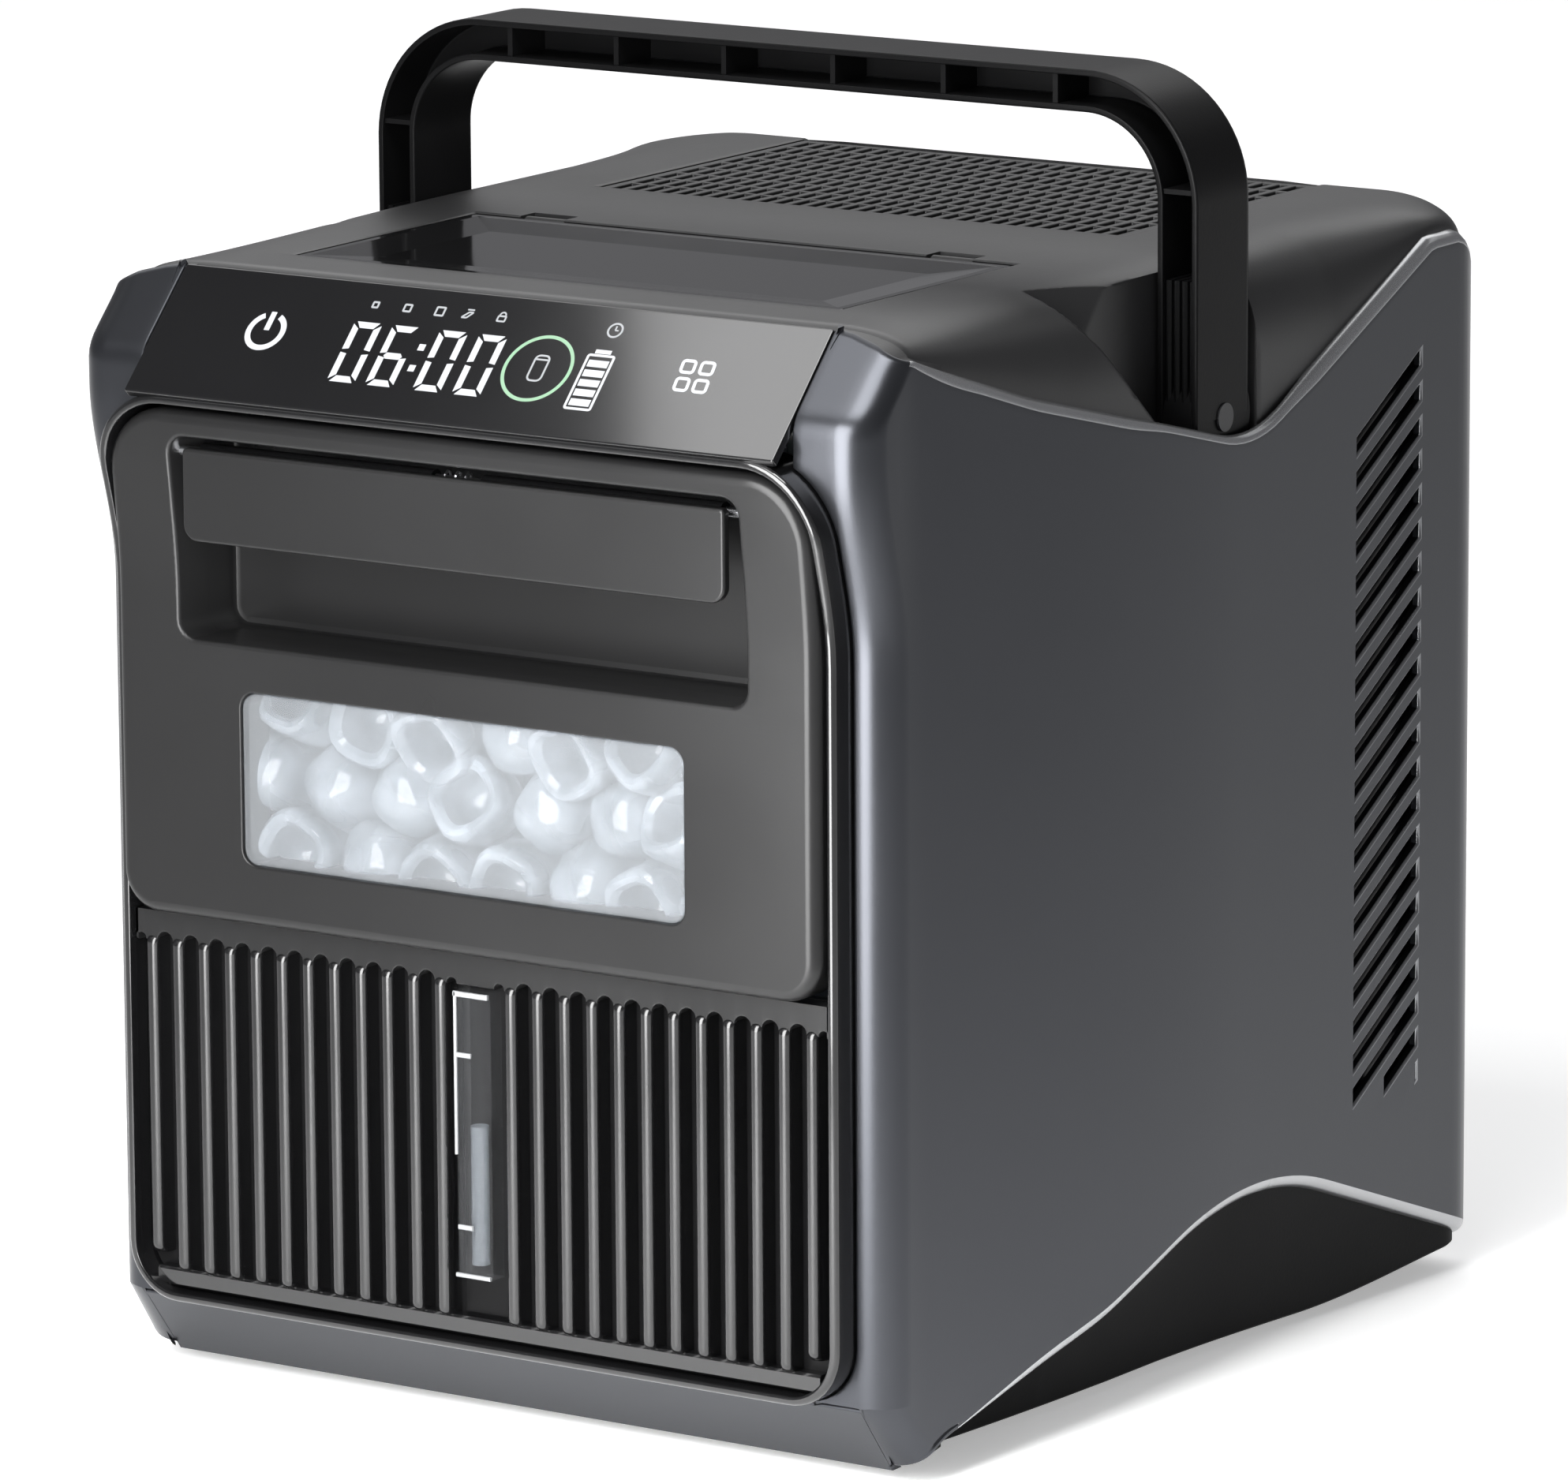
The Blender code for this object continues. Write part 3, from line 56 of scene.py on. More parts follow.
# ---------------------------------------------------------------- the body's form
Y0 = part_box("rear_cover")[1].y - 0.267
TOP_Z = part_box("top_cover")[1].z
REAR_DEPTH = 0.268
FRONT_HALF, REAR_HALF = 0.1125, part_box("side_panel_right")[1].x
BOW_START, BOW_END = 0.014, 0.146
FRONT_CORNER_R, REAR_CORNER_R = 0.009, 0.015
SHELL_DEPTH, SHELL_SWEEP = 0.0038, 0.009
CHAMFER_Z, CHAMFER_RUN, BOTTOM_Z = 0.021, 0.0143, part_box("front_skirt")[0].z
SWEEP_Z = (0.198, 0.246)
SLANT_LOW, SLANT_HIGH = (-0.0129, 0.2467), (0.0132, TOP_Z)
PANEL_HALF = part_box("control_panel")[1].x
WALL, GAP = 0.0024, 0.0003

BEZEL_LOW, BEZEL_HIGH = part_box("front_bezel")
BEZEL_HALF, BEZEL_Z = BEZEL_HIGH.x, (BEZEL_LOW.z, BEZEL_HIGH.z)
BEZEL_STRIP, BEZEL_RADII = 0.0023, (0.020, 0.014)      # strip width; top and bottom corners
BEZEL_FACE, BEZEL_SWEEP = -0.0038, 0.0087

DOOR_LOW, DOOR_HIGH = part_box("drawer_front")
DOOR_HALF, DOOR_Z = DOOR_HIGH.x, (DOOR_LOW.z, DOOR_HIGH.z)
DOOR_FACE, DOOR_SWEEP, DOOR_BACK = -0.0075, 0.004, 0.004
POCKET_HALF, POCKET_Z, POCKET_BACK = 0.0808, (0.187, 0.2365), 0.0155
WINDOW_HALF, WINDOW_Z = 0.0632, (0.1336, 0.1758)
PADDLE_LOW, PADDLE_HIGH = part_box("latch_paddle")
PADDLE_HALF, PADDLE_Z, PADDLE_FACE = PADDLE_HIGH.x, (PADDLE_LOW.z, 0.2338), PADDLE_LOW.y - Y0

RIB_COUNT, RIB_PITCH, RIB_OUTER, RIB_WIDTH = 12, 0.0077, 0.0948, 0.0034
RIB_Z, RIB_FACE = (0.0285, 0.1125), -0.0030

LID_HALF, LID_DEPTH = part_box("top_lid")[1].x, (0.0378, 0.1135)
LID_AXIS = (0.1175, 0.271)
LID_SEAT = (0.0785, 0.0375, 0.1148)                    # half width, front and rear depths
KNUCKLE_X, KNUCKLE_REAR = (0.0525, 0.0655), 0.1212
GRILLE_HALF, GRILLE_DEPTH = 0.077, (0.165, 0.262)
SHOULDER_WIDTH, SHOULDER_DROP, SHOULDER_POWER = 0.024, 0.027, 2.5

HANDLE_HALF, HANDLE_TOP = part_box("handle")[1].x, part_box("handle")[1].z
HANDLE_DEPTH = (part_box("handle")[0].y - Y0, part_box("handle")[1].y - Y0)
LEG_THICK, BAR_THICK, HANDLE_BEND_R = 0.0112, 0.0103, 0.0255
HANDLE_AXIS, HANDLE_SWING, HANDLE_RIB_PITCH = (0.143, 0.236), 47.0, 0.0316
SCOOP_X, LEG_REACH = 0.1069, 0.014

UPPER_EDGE = [(0.2640, 0.2786, 0.0193), (0.152, 0.229, 0.043), (0.060, 0.2528, 0.15),
              (0.0155, 0.2675, 0.004), (0.0, 0.2675, 0)]
LOWER_EDGE = [(0.0, BOTTOM_Z, 0), (0.014, BOTTOM_Z, 0.003), (0.024, 0.0103, 0.02),
              (0.088, 0.0254, 0.1), (0.152, 0.0488, 0.104), (0.2685, 0.0063, 0)]
CROWN = [(0.088, TOP_Z + 0.0004), (0.097, 0.2730), (0.105, 0.2710), (0.114, 0.2671)]

LOUVRE_COUNT, LOUVRE_PITCH = 20, 0.0086
LOUVRE_DEPTH, LOUVRE_LOW_Z = (0.2012, 0.2325), 0.0548
LOUVRE_RISE, LOUVRE_HEIGHT = 0.0175, 0.0042
LOUVRE_BOX = (0.1965, 0.2372)                          # depths of the flat field they are cut in


def ease(t):
    t = min(max(t, 0.0), 1.0)
    return t * t * (3 - 2 * t)


def table(pairs, u):
    """Straight-line reading of sorted (u, v) pairs."""
    if u <= pairs[0][0]:
        return pairs[0][1]
    for (a, p), (b, q) in zip(pairs, pairs[1:]):
        if u <= b:
            return p + (q - p) * (u - a) / max(b - a, 1e-9)
    return pairs[-1][1]


def angles(start, stop, steps):
    """Evenly spaced angles from start to stop degrees, in radians."""
    return [math.radians(start + (stop - start) * k / steps) for k in range(steps + 1)]


def stations(marks, counts):
    """Places after the first mark: each stretch between marks is cut into its count of equal steps."""
    places = []
    for a, b, count in zip(marks, marks[1:], counts):
        places += [a + (b - a) * k / count for k in range(1, count + 1)]
    return places


def both_sides(near, far):
    """Low and high x of a part that reaches from near to far, on the left and on the right."""
    return (-far, -near), (near, far)


def rounded(corners, steps=5):
    """Outline through corners (u, v, radius), each rounded by an arc of its radius."""
    result = []
    count = len(corners)
    for i, (u, v, radius) in enumerate(corners):
        if radius <= 0:
            result.append((u, v))
            continue
        here = Vector((u, v))
        before = (Vector(corners[i - 1][:2]) - here).normalized()
        after = (Vector(corners[(i + 1) % count][:2]) - here).normalized()
        half = before.angle(after) / 2
        centre = here + (before + after).normalized() * radius / math.sin(half)
        start = here + before * radius / math.tan(half) - centre
        finish = here + after * radius / math.tan(half) - centre
        swing = start.angle_signed(finish)
        for k in range(steps + 1):
            arm = start.copy()
            arm.rotate(Matrix.Rotation(-swing * k / steps, 2))
            result.append(tuple(centre + arm))
    return result


UPPER_LINE = sorted(rounded([(0.2640, 0.20, 0)] + UPPER_EDGE, 16)[1:])
LOWER_LINE = sorted(rounded(LOWER_EDGE, 16))


def half_width(depth):
    t = min(max((depth - BOW_START) / (BOW_END - BOW_START), 0.0), 1.0)
    return FRONT_HALF + (REAR_HALF - FRONT_HALF) * math.sin(t * math.pi / 2)


def plan_half(depth):
    """Half width with the rear corner's rounding."""
    past = depth - (REAR_DEPTH - REAR_CORNER_R)
    if past <= 0:
        return half_width(depth)
    return REAR_HALF - REAR_CORNER_R + math.sqrt(max(REAR_CORNER_R ** 2 - past ** 2, 0.0))


def sweep(z):
    return ease((z - SWEEP_Z[0]) / (SWEEP_Z[1] - SWEEP_Z[0]))


def slant(z):
    t = (z - SLANT_LOW[1]) / (SLANT_HIGH[1] - SLANT_LOW[1])
    return SLANT_LOW[0] + t * (SLANT_HIGH[0] - SLANT_LOW[0])


def shell_front(z):
    """Depth of the grey shell's front at height z; the sweep runs softly into the slant."""
    if z < CHAMFER_Z:
        return SHELL_DEPTH + (CHAMFER_Z - z) * CHAMFER_RUN / (CHAMFER_Z - BOTTOM_Z)
    a, b, soft = SHELL_DEPTH - SHELL_SWEEP * sweep(z), slant(z), 0.003
    blend = max(soft - abs(a - b), 0.0) / soft
    return max(a, b) + blend * blend * soft / 4


def bezel_face(z):
    return BEZEL_FACE - BEZEL_SWEEP * sweep(z)


def door_face(z):
    return DOOR_FACE - DOOR_SWEEP * sweep(z)


# ---------------------------------------------------------------- meshes
class Skin:
    """Collects points and faces; each face has a tone, the index of its material."""

    def __init__(self):
        self.verts = []
        self.faces = []
        self.tones = []

    def rows(self, rows, round_rows=False, round_columns=False, skip=None, tone_of=None):
        """Quads between equal rows of points; skip and tone_of are asked by row and column."""
        first, count, height = len(self.verts), len(rows[0]), len(rows)
        for row in rows:
            self.verts.extend(tuple(p) for p in row)
        for j in range(height if round_rows else height - 1):
            for i in range(count if round_columns else count - 1):
                if skip and skip(j, i):
                    continue
                k, m = (j + 1) % height, (i + 1) % count
                self.faces.append((first + j * count + i, first + j * count + m,
                                   first + k * count + m, first + k * count + i))
                self.tones.append(tone_of(j, i) if tone_of else 0)

    def cap(self, ring):
        first = len(self.verts)
        self.verts.extend(tuple(p) for p in ring)
        self.faces.append(tuple(range(first, first + len(ring))))
        self.tones.append(0)

    def bar(self, low, high, bevel=0.0):
        """Box between two corners; the edges along its longest side are bevelled."""
        spans = [high[k] - low[k] for k in range(3)]
        run = spans.index(max(spans))
        a, b = [k for k in range(3) if k != run]
        corners = [(low[a], low[b]), (high[a], low[b]), (high[a], high[b]), (low[a], high[b])]
        if bevel:
            corners = [(low[a] + bevel, low[b]), (high[a] - bevel, low[b]), (high[a], low[b] + bevel),
                       (high[a], high[b] - bevel), (high[a] - bevel, high[b]), (low[a] + bevel, high[b]),
                       (low[a], high[b] - bevel), (low[a], low[b] + bevel)]
        rings = []
        for end in (low[run], high[run]):
            ring = []
            for u, v in corners:
                point = [end, end, end]
                point[a], point[b] = u, v
                ring.append(tuple(point))
            rings.append(ring)
        self.rows(rings, round_columns=True)
        self.cap(rings[0])
        self.cap(rings[1])


made = []


def mesh_from(name, skin, mats):
    mesh = bpy.data.meshes.new(name)
    mesh.from_pydata(skin.verts, [], skin.faces)
    mesh.polygons.foreach_set("material_index", skin.tones)
    bm = bmesh.new()
    bm.from_mesh(mesh)
    bmesh.ops.remove_doubles(bm, verts=bm.verts, dist=1e-6)
    bmesh.ops.dissolve_degenerate(bm, edges=bm.edges, dist=1e-7)
    bmesh.ops.recalc_face_normals(bm, faces=bm.faces)
    bm.to_mesh(mesh)
    bm.free()
    for mat in mats:
        mesh.materials.append(mat)
    return mesh


def piece(name, skin, mats, body="root", stands_for=(), angle=35.0):
    """Makes a smooth-shaded object that rides on a body."""
    mats = mats if isinstance(mats, (list, tuple)) else [mats]
    mesh = mesh_from(name, skin, mats)
    mesh.shade_smooth()
    mesh.set_sharp_from_angle(angle=math.radians(angle))
    ob = bpy.data.objects.new(name, mesh)
    bpy.context.scene.collection.objects.link(ob)
    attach(ob, body)
    if stands_for:
        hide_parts(*stands_for)
    made.append(ob)
    return ob


def settle(ob, angle=35.0):
    """Turns an object's modifiers into its mesh."""
    bpy.context.view_layer.update()
    result = bpy.data.meshes.new_from_object(ob.evaluated_get(bpy.context.evaluated_depsgraph_get()))
    ob.modifiers.clear()
    ob.data = result
    result.shade_smooth()
    result.set_sharp_from_angle(angle=math.radians(angle))
    return ob


def thicken(ob, thickness, angle=35.0):
    mod = ob.modifiers.new("thickness", "SOLIDIFY")
    mod.thickness = thickness
    mod.offset = -1.0
    return settle(ob, angle)


def cut(ob, skin, name, mats=()):
    """Subtracts a closed skin from an object; its tones pick materials for the cut faces."""
    cutter = bpy.data.objects.new(name, mesh_from(name, skin, mats))
    bpy.context.scene.collection.objects.link(cutter)
    mod = ob.modifiers.new("cut", "BOOLEAN")
    mod.object = cutter
    mod.solver = "EXACT"
    mod.material_mode = "TRANSFER" if mats else "INDEX"
    settle(ob)
    bpy.data.objects.remove(cutter, do_unlink=True)
    return ob


def even_shading():
    """Lets each piece's broad faces set the shading, so that fine roundings don't bend it."""
    for ob in made:
        mod = ob.modifiers.new("broad_faces_first", "WEIGHTED_NORMAL")
        mod.keep_sharp = True
        mod.weight = 60


def right_chain(half, span, radii, arc=8, side=10):
    """Right edge of a rounded rectangle from bottom to top, as (u, v)."""
    low, high = span
    top_r, bottom_r = radii
    chain = []
    for a in angles(-90, 0, arc):
        chain.append((half - bottom_r + bottom_r * math.cos(a), low + bottom_r + bottom_r * math.sin(a)))
    for k in range(1, side):
        chain.append((half, low + bottom_r + (high - top_r - low - bottom_r) * k / side))
    for a in angles(0, 90, arc):
        chain.append((half - top_r + top_r * math.cos(a), high - top_r + top_r * math.sin(a)))
    return chain


def ring_of(half, span, radii, inset, place, arc=8, side=10):
    """Closed ring of a rounded rectangle, inset, through place(u, v)."""
    smallest = 0.0002
    radii = [max(r - inset, smallest) for r in radii]
    chain = right_chain(half - inset, (span[0] + inset, span[1] - inset), radii, arc, side)
    return [place(u, v) for u, v in chain] + [place(-u, v) for u, v in reversed(chain)]


def plaque(skin, half, span, radii, levels, place, arc=8, side=10):
    """Closed rounded block from rings (inset, w) through place(u, v, w), capped by level strips."""
    rings = [ring_of(half, span, radii, inset, lambda u, v, w=w: place(u, v, w), arc, side)
             for inset, w in levels]
    skin.rows(rings, round_columns=True)
    count = len(rings[0]) // 2
    for ring in (rings[0], rings[-1]):
        right, left = ring[:count], ring[:count - 1:-1]
        skin.rows([right, left])


def edge_levels(radius, back, steps=5):
    """Levels from the back to a front edge rounded by radius; w is 0 at the face."""
    levels = [(0.0, back), (0.0, radius)]
    for a in angles(0, 90, steps)[1:]:
        levels.append((radius * (1 - math.cos(a)), radius * (1 - math.sin(a))))
    return levels


def mouth_levels(radius, floor, steps=4):
    """Levels of a cutter whose mouth is rounded over by radius, down to a floor."""
    levels = [(-radius, -0.006), (-radius, 0.0)]
    for a in angles(0, 90, steps)[1:]:
        levels.append((-radius * (1 - math.sin(a)), radius * (1 - math.cos(a))))
    return levels + [(0.0, floor)]


# ---------------------------------------------------------------- materials
def shader_of(name):
    mat = bpy.data.materials.new(name)
    mat.use_nodes = True
    return mat, mat.node_tree, mat.node_tree.nodes["Principled BSDF"]


def preset(node, values):
    """Sets a node's unlinked inputs by name."""
    for name, value in values.items():
        node.inputs[name].default_value = value


def grain(tree, scale, detail=3.0, stretch=(1, 1, 1)):
    """Noise in object space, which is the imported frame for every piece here."""
    place = tree.nodes.new("ShaderNodeTexCoord")
    mapping = tree.nodes.new("ShaderNodeMapping")
    mapping.inputs["Scale"].default_value = stretch
    noise = tree.nodes.new("ShaderNodeTexNoise")
    preset(noise, {"Scale": scale, "Detail": detail})
    tree.links.new(place.outputs["Object"], mapping.inputs["Vector"])
    tree.links.new(mapping.outputs["Vector"], noise.inputs["Vector"])
    return noise.outputs["Fac"]


NOISE_SPAN = (0.3, 0.7)                                # where a noise's values mostly lie


def spread(tree, source, low, high):
    """Maps a noise's value onto a range."""
    node = tree.nodes.new("ShaderNodeMapRange")
    preset(node, {"From Min": NOISE_SPAN[0], "From Max": NOISE_SPAN[1], "To Min": low, "To Max": high})
    tree.links.new(source, node.inputs["Value"])
    return node.outputs["Result"]


def bump(tree, shader, source, strength, distance=0.0001):
    node = tree.nodes.new("ShaderNodeBump")
    preset(node, {"Strength": strength, "Distance": distance})
    tree.links.new(source, node.inputs["Height"])
    tree.links.new(node.outputs["Normal"], shader.inputs["Normal"])


def tint(tree, source, low, high, span=NOISE_SPAN):
    """Colour that runs from low to high while the value crosses the span."""
    node = tree.nodes.new("ShaderNodeValToRGB")
    for element, position, colour in zip(node.color_ramp.elements, span, (low, high)):
        element.position = position
        element.color = (*colour, 1.0)
    tree.links.new(source, node.inputs["Fac"])
    return node.outputs["Color"]


def surface(name, colour, roughness, metallic=0.0, scale=900.0, strength=0.15, vary=0.05,
            coat=0.0, shade=0.85, stretch=(1, 1, 1), shine=0.5):
    """Moulded, painted or bare surface: fine grain, and slow changes of tone and gloss."""
    mat, tree, shader = shader_of(name)
    slow = grain(tree, 14.0, 4.0)
    fine = grain(tree, scale, 2.0, stretch)
    low = tuple(c * shade for c in colour)
    tree.links.new(tint(tree, slow, low, colour), shader.inputs["Base Color"])
    tree.links.new(spread(tree, slow, roughness - vary, roughness + vary), shader.inputs["Roughness"])
    preset(shader, {"Metallic": metallic, "Specular IOR Level": shine, "Coat Weight": coat,
                    "Coat Roughness": 0.08})
    bump(tree, shader, fine, strength)
    return mat


def clear(name, colour, alpha, roughness=0.03):
    """Thin clear plastic: mostly see-through, with a glossy face and faint haze."""
    mat, tree, shader = shader_of(name)
    haze = grain(tree, 60.0)
    preset(shader, {"Base Color": (*colour, 1.0), "Alpha": alpha})
    tree.links.new(spread(tree, haze, roughness, roughness + 0.05), shader.inputs["Roughness"])
    return mat


def ice_material():
    """Cloudy ice, part see-through, with a faint emission that paints in the glow of light scattered inside
    it.
    """
    mat, tree, shader = shader_of("ice")
    cloud = grain(tree, 95.0, 5.0)
    body = tint(tree, cloud, (0.07, 0.085, 0.10), (0.23, 0.255, 0.29))
    # Emission colour: a painted glow, standing in for light scattered inside the ice.
    painted_glow = tint(tree, cloud, (0.46, 0.52, 0.60), (0.80, 0.87, 0.95))
    tree.links.new(body, shader.inputs["Base Color"])
    tree.links.new(painted_glow, shader.inputs["Emission Color"])
    tree.links.new(spread(tree, cloud, 0.05, 0.20), shader.inputs["Roughness"])
    preset(shader, {"Transmission Weight": 0.6, "IOR": 1.31, "Emission Strength": 0.02})
    bump(tree, shader, grain(tree, 240.0), 0.2, 0.0004)
    return mat


def light_ink(name, colour, strength):
    mat, tree, shader = shader_of(name)
    uneven = grain(tree, 400.0)
    tree.links.new(tint(tree, uneven, tuple(c * 0.94 for c in colour), colour),
                   shader.inputs["Emission Color"])
    preset(shader, {"Base Color": (0.02, 0.02, 0.02, 1.0), "Emission Strength": strength})
    return mat


SHELL = surface("shell_paint", (0.048, 0.050, 0.056), 0.31, 0.9, 2600.0, 0.10, 0.03, shade=0.94)
# Lighter paint for the shell's rolled top lip and lower hem: a painted highlight, standing in for light
# caught on those rounded edges.
SHELL_EDGE_HIGHLIGHT = surface("shell_edge_painted_highlight", (0.44, 0.445, 0.455), 0.25, 0.9, 2600.0, 0.05, 0.03, shade=0.94)
# Lighter paint on the louvre slots' widened mouths: a painted highlight along the slot edges.
LOUVRE_EDGE_HIGHLIGHT = surface("louvre_edge_painted_highlight", (0.28, 0.285, 0.295), 0.3, 0.9, 2600.0, 0.05, 0.03, shade=0.94)
SATIN = surface("satin_plastic", (0.012, 0.012, 0.0125), 0.40, 0.0, 1500.0, 0.22, 0.04)
DOOR = surface("door_plastic", (0.009, 0.009, 0.0092), 0.30, 0.0, 1500.0, 0.10, 0.03, shine=0.26)
GLOSS = surface("gloss_plastic", (0.005, 0.005, 0.0053), 0.14, 0.0, 500.0, 0.03, 0.03, 0.3)
RIBS = surface("rib_plastic", (0.005, 0.005, 0.0053), 0.20, 0.0, 700.0, 0.05, 0.03, 0.2)
HANDLE = surface("handle_plastic", (0.004, 0.004, 0.0042), 0.34, 0.0, 1500.0, 0.18, 0.04, shine=0.08)
GLASS = surface("panel_glass", (0.004, 0.004, 0.0043), 0.14, 0.0, 300.0, 0.01, 0.02, 0.2)
LID = surface("lid_plastic", (0.006, 0.006, 0.0063), 0.09, 0.0, 300.0, 0.01, 0.03, 0.2)
BASE = surface("base_plastic", (0.004, 0.004, 0.0042), 0.55, 0.0, 1200.0, 0.3, 0.05, shine=0.06)
CLEAR = clear("clear_plastic", (0.12, 0.125, 0.13), 0.10)
PANE = clear("window_pane", (0.80, 0.84, 0.88), 0.06)
ICE = ice_material()
WHITE_INK = light_ink("white_light", (0.92, 0.95, 1.0), 1.0)
DIM_INK = light_ink("dim_light", (0.75, 0.78, 0.82), 0.75)
GREEN_INK = light_ink("green_light", (0.42, 0.80, 0.48), 0.9)
SLOT_LOOKS = {
    "grey_shell": SHELL, "black_satin": SATIN, "black_gloss": GLOSS, "dark_glass": GLASS, "clear": CLEAR,
    "white_plastic": surface("white_moulding", (0.72, 0.74, 0.75), 0.42, shade=0.93),
    "rubber": surface("rubber_feet", (0.012, 0.012, 0.012), 0.8, 0.0, 1800.0, 0.5, 0.06),
    "steel": surface("bare_steel", (0.52, 0.53, 0.55), 0.3, 1.0, 300.0, vary=0.06, stretch=(1, 1, 14)),
    "copper": surface("bare_copper", (0.72, 0.34, 0.20), 0.28, 1.0, 300.0, 0.1, 0.08, shade=0.7),
    "aluminium": surface("bare_aluminium", (0.66, 0.67, 0.69), 0.36, 1.0, 400.0, 0.2, 0.06,
                         stretch=(1, 9, 1)),
    "black_paint": surface("black_enamel", (0.014, 0.014, 0.016), 0.38, 0.0, 700.0, 0.2, 0.05),
    "board_green": surface("circuit_board", (0.015, 0.10, 0.045), 0.35, 0.0, 250.0, 0.3, 0.05, shade=0.6),
    "battery_blue": surface("battery_wrap", (0.03, 0.09, 0.26), 0.32, 0.0, 80.0, 0.3, 0.05, shade=0.8),
}


def dress_frame():
    """Gives each CAD node its slot's material and softens its sharp edges a little."""
    for row in frame["record"]["subparts"]:
        ob = nodes[row["node"]]
        ob.data.materials.clear()
        ob.data.materials.append(SLOT_LOOKS[row["material_slot"]])
    nodes["base_pan"].data.materials[0] = BASE
    for name in ("front_skirt", "rear_cover", "power_inlet", "ice_basket", "water_reservoir", "base_pan"):
        mod = nodes[name].modifiers.new("soft_edges", "BEVEL")
        mod.width = 0.0005
        mod.segments = 2
        mod.limit_method = "ANGLE"
        mod.angle_limit = math.radians(40)


# ---------------------------------------------------------------- grey shells
FACE_STEPS, CORNER_STEPS, REAR_STEPS = 5, 12, 10
EDGE_ROLL = 0.0006                                     # rounding where the shell meets the bezel
FIXED_DEPTH = 0.040                                    # behind here the plan line's points keep their depth
RETURN_RISE, RETURN_INSET = 0.004, 0.0020              # how far the free edges turn in behind the face


def shell_line(z, inner_x):
    """Plan line (x, depth) of the right shell's outer face at height z, from the bezel to the rear."""
    front = shell_front(z)
    corner_x = half_width(front + FRONT_CORNER_R) - FRONT_CORNER_R
    roll = EDGE_ROLL if z > CHAMFER_Z else EDGE_ROLL / 6
    points = [(inner_x, front + 0.004), (inner_x, front + roll), (inner_x + roll * 0.3, front + roll * 0.3)]
    start_x = inner_x + roll
    for k in range(FACE_STEPS):
        points.append((start_x + (max(corner_x, start_x + 0.0001) - start_x) * k / FACE_STEPS, front))
    for a in angles(-90, 0, CORNER_STEPS):
        points.append((corner_x + FRONT_CORNER_R * math.cos(a),
                       front + FRONT_CORNER_R + FRONT_CORNER_R * math.sin(a)))
    start, stop = front + FRONT_CORNER_R, REAR_DEPTH - REAR_CORNER_R
    marks = (start, FIXED_DEPTH) + LOUVRE_BOX + (stop,)
    points += [(half_width(depth), depth) for depth in stations(marks, (8, 44, 12, 6))]
    for a in angles(0, 90, REAR_STEPS)[1:]:
        points.append((REAR_HALF - REAR_CORNER_R + REAR_CORNER_R * math.cos(a),
                       stop + REAR_CORNER_R * math.sin(a)))
    return points + [(0.1025, REAR_DEPTH), (0.0981, REAR_DEPTH), (0.0978, REAR_DEPTH - 0.0004)]


def inner_edge_x(z):
    """Where the grey front strip ends inward at height z: at the bezel, or at the glass panel."""
    top_r, bottom_r = BEZEL_RADII[0] + GAP, BEZEL_RADII[1] + GAP
    high, low, half = BEZEL_Z[1] + GAP - top_r, BEZEL_Z[0] - GAP + bottom_r, BEZEL_HALF + GAP
    if z > high:
        return max(half - top_r + math.sqrt(max(top_r ** 2 - (z - high) ** 2, 0.0)), PANEL_HALF + GAP)
    if z < low:
        return half - bottom_r + math.sqrt(max(bottom_r ** 2 - (low - z) ** 2, 0.0))
    return half


def inward(points, inset):
    """The plan line moved inward by inset."""
    moved = []
    last = len(points) - 1
    for i, (x, d) in enumerate(points):
        a, b = points[max(i - 1, 0)], points[min(i + 1, last)]
        along = Vector((b[0] - a[0], b[1] - a[1])).normalized()
        moved.append((x - along.y * inset, d + along.x * inset))
    return moved


def shell_top(x, depth):
    crown = table(CROWN, x)
    side = table(UPPER_LINE, depth)
    share = ease((depth - 0.0135) / 0.004)
    return crown + (min(crown, side) - crown) * share


def shell_skin(low_of, high_of, shares, inner_of, roll_low, roll_high):
    """Rows of the shell between two edge heights, rolled in at the free edges.

    low_of and high_of give the edge heights at (x, depth); shares are the rows' places between.
    """
    base = shell_line(0.12, BEZEL_HALF)
    count = len(base)
    lows, highs = [0.02] * count, [0.26] * count
    for _ in range(8):
        for i in range(count):
            x, d = shell_line(lows[i], inner_of(lows[i]))[i]
            lows[i] = low_of(x, d)
            x, d = shell_line(highs[i], inner_of(highs[i]))[i]
            highs[i] = high_of(x, d)
    rows = []

    def add(height_of, inset_of):
        row = []
        for i in range(count):
            z = height_of(i)
            line = shell_line(z, inner_of(z))
            inset = inset_of(i)
            x, d = line[i] if inset == 0 else inward(line, inset)[i]
            row.append((x, Y0 + d, z))
        rows.append(row)

    turns = angles(90, 0, 5)[:-1]
    if roll_low:
        add(lambda i: lows[i] + RETURN_RISE,
            lambda i: max(roll_low(base[i][1]), RETURN_INSET) + 0.0004)
        for a in turns:
            add(lambda i: lows[i] + roll_low(base[i][1]) * (1 - math.sin(a)),
                lambda i: roll_low(base[i][1]) * (1 - math.cos(a)))
    for share in shares:
        def height(i):
            low = lows[i] + (roll_low(base[i][1]) if roll_low else 0.0)
            high = highs[i] - (roll_high(base[i][1]) if roll_high else 0.0)
            return low + (high - low) * share
        add(height, lambda i: 0.0)
    if roll_high:
        for a in reversed(turns):
            add(lambda i: highs[i] - roll_high(base[i][1]) * (1 - math.sin(a)),
                lambda i: roll_high(base[i][1]) * (1 - math.cos(a)))
        add(lambda i: highs[i] - RETURN_RISE,
            lambda i: max(roll_high(base[i][1]), RETURN_INSET) + 0.0002)
    return rows


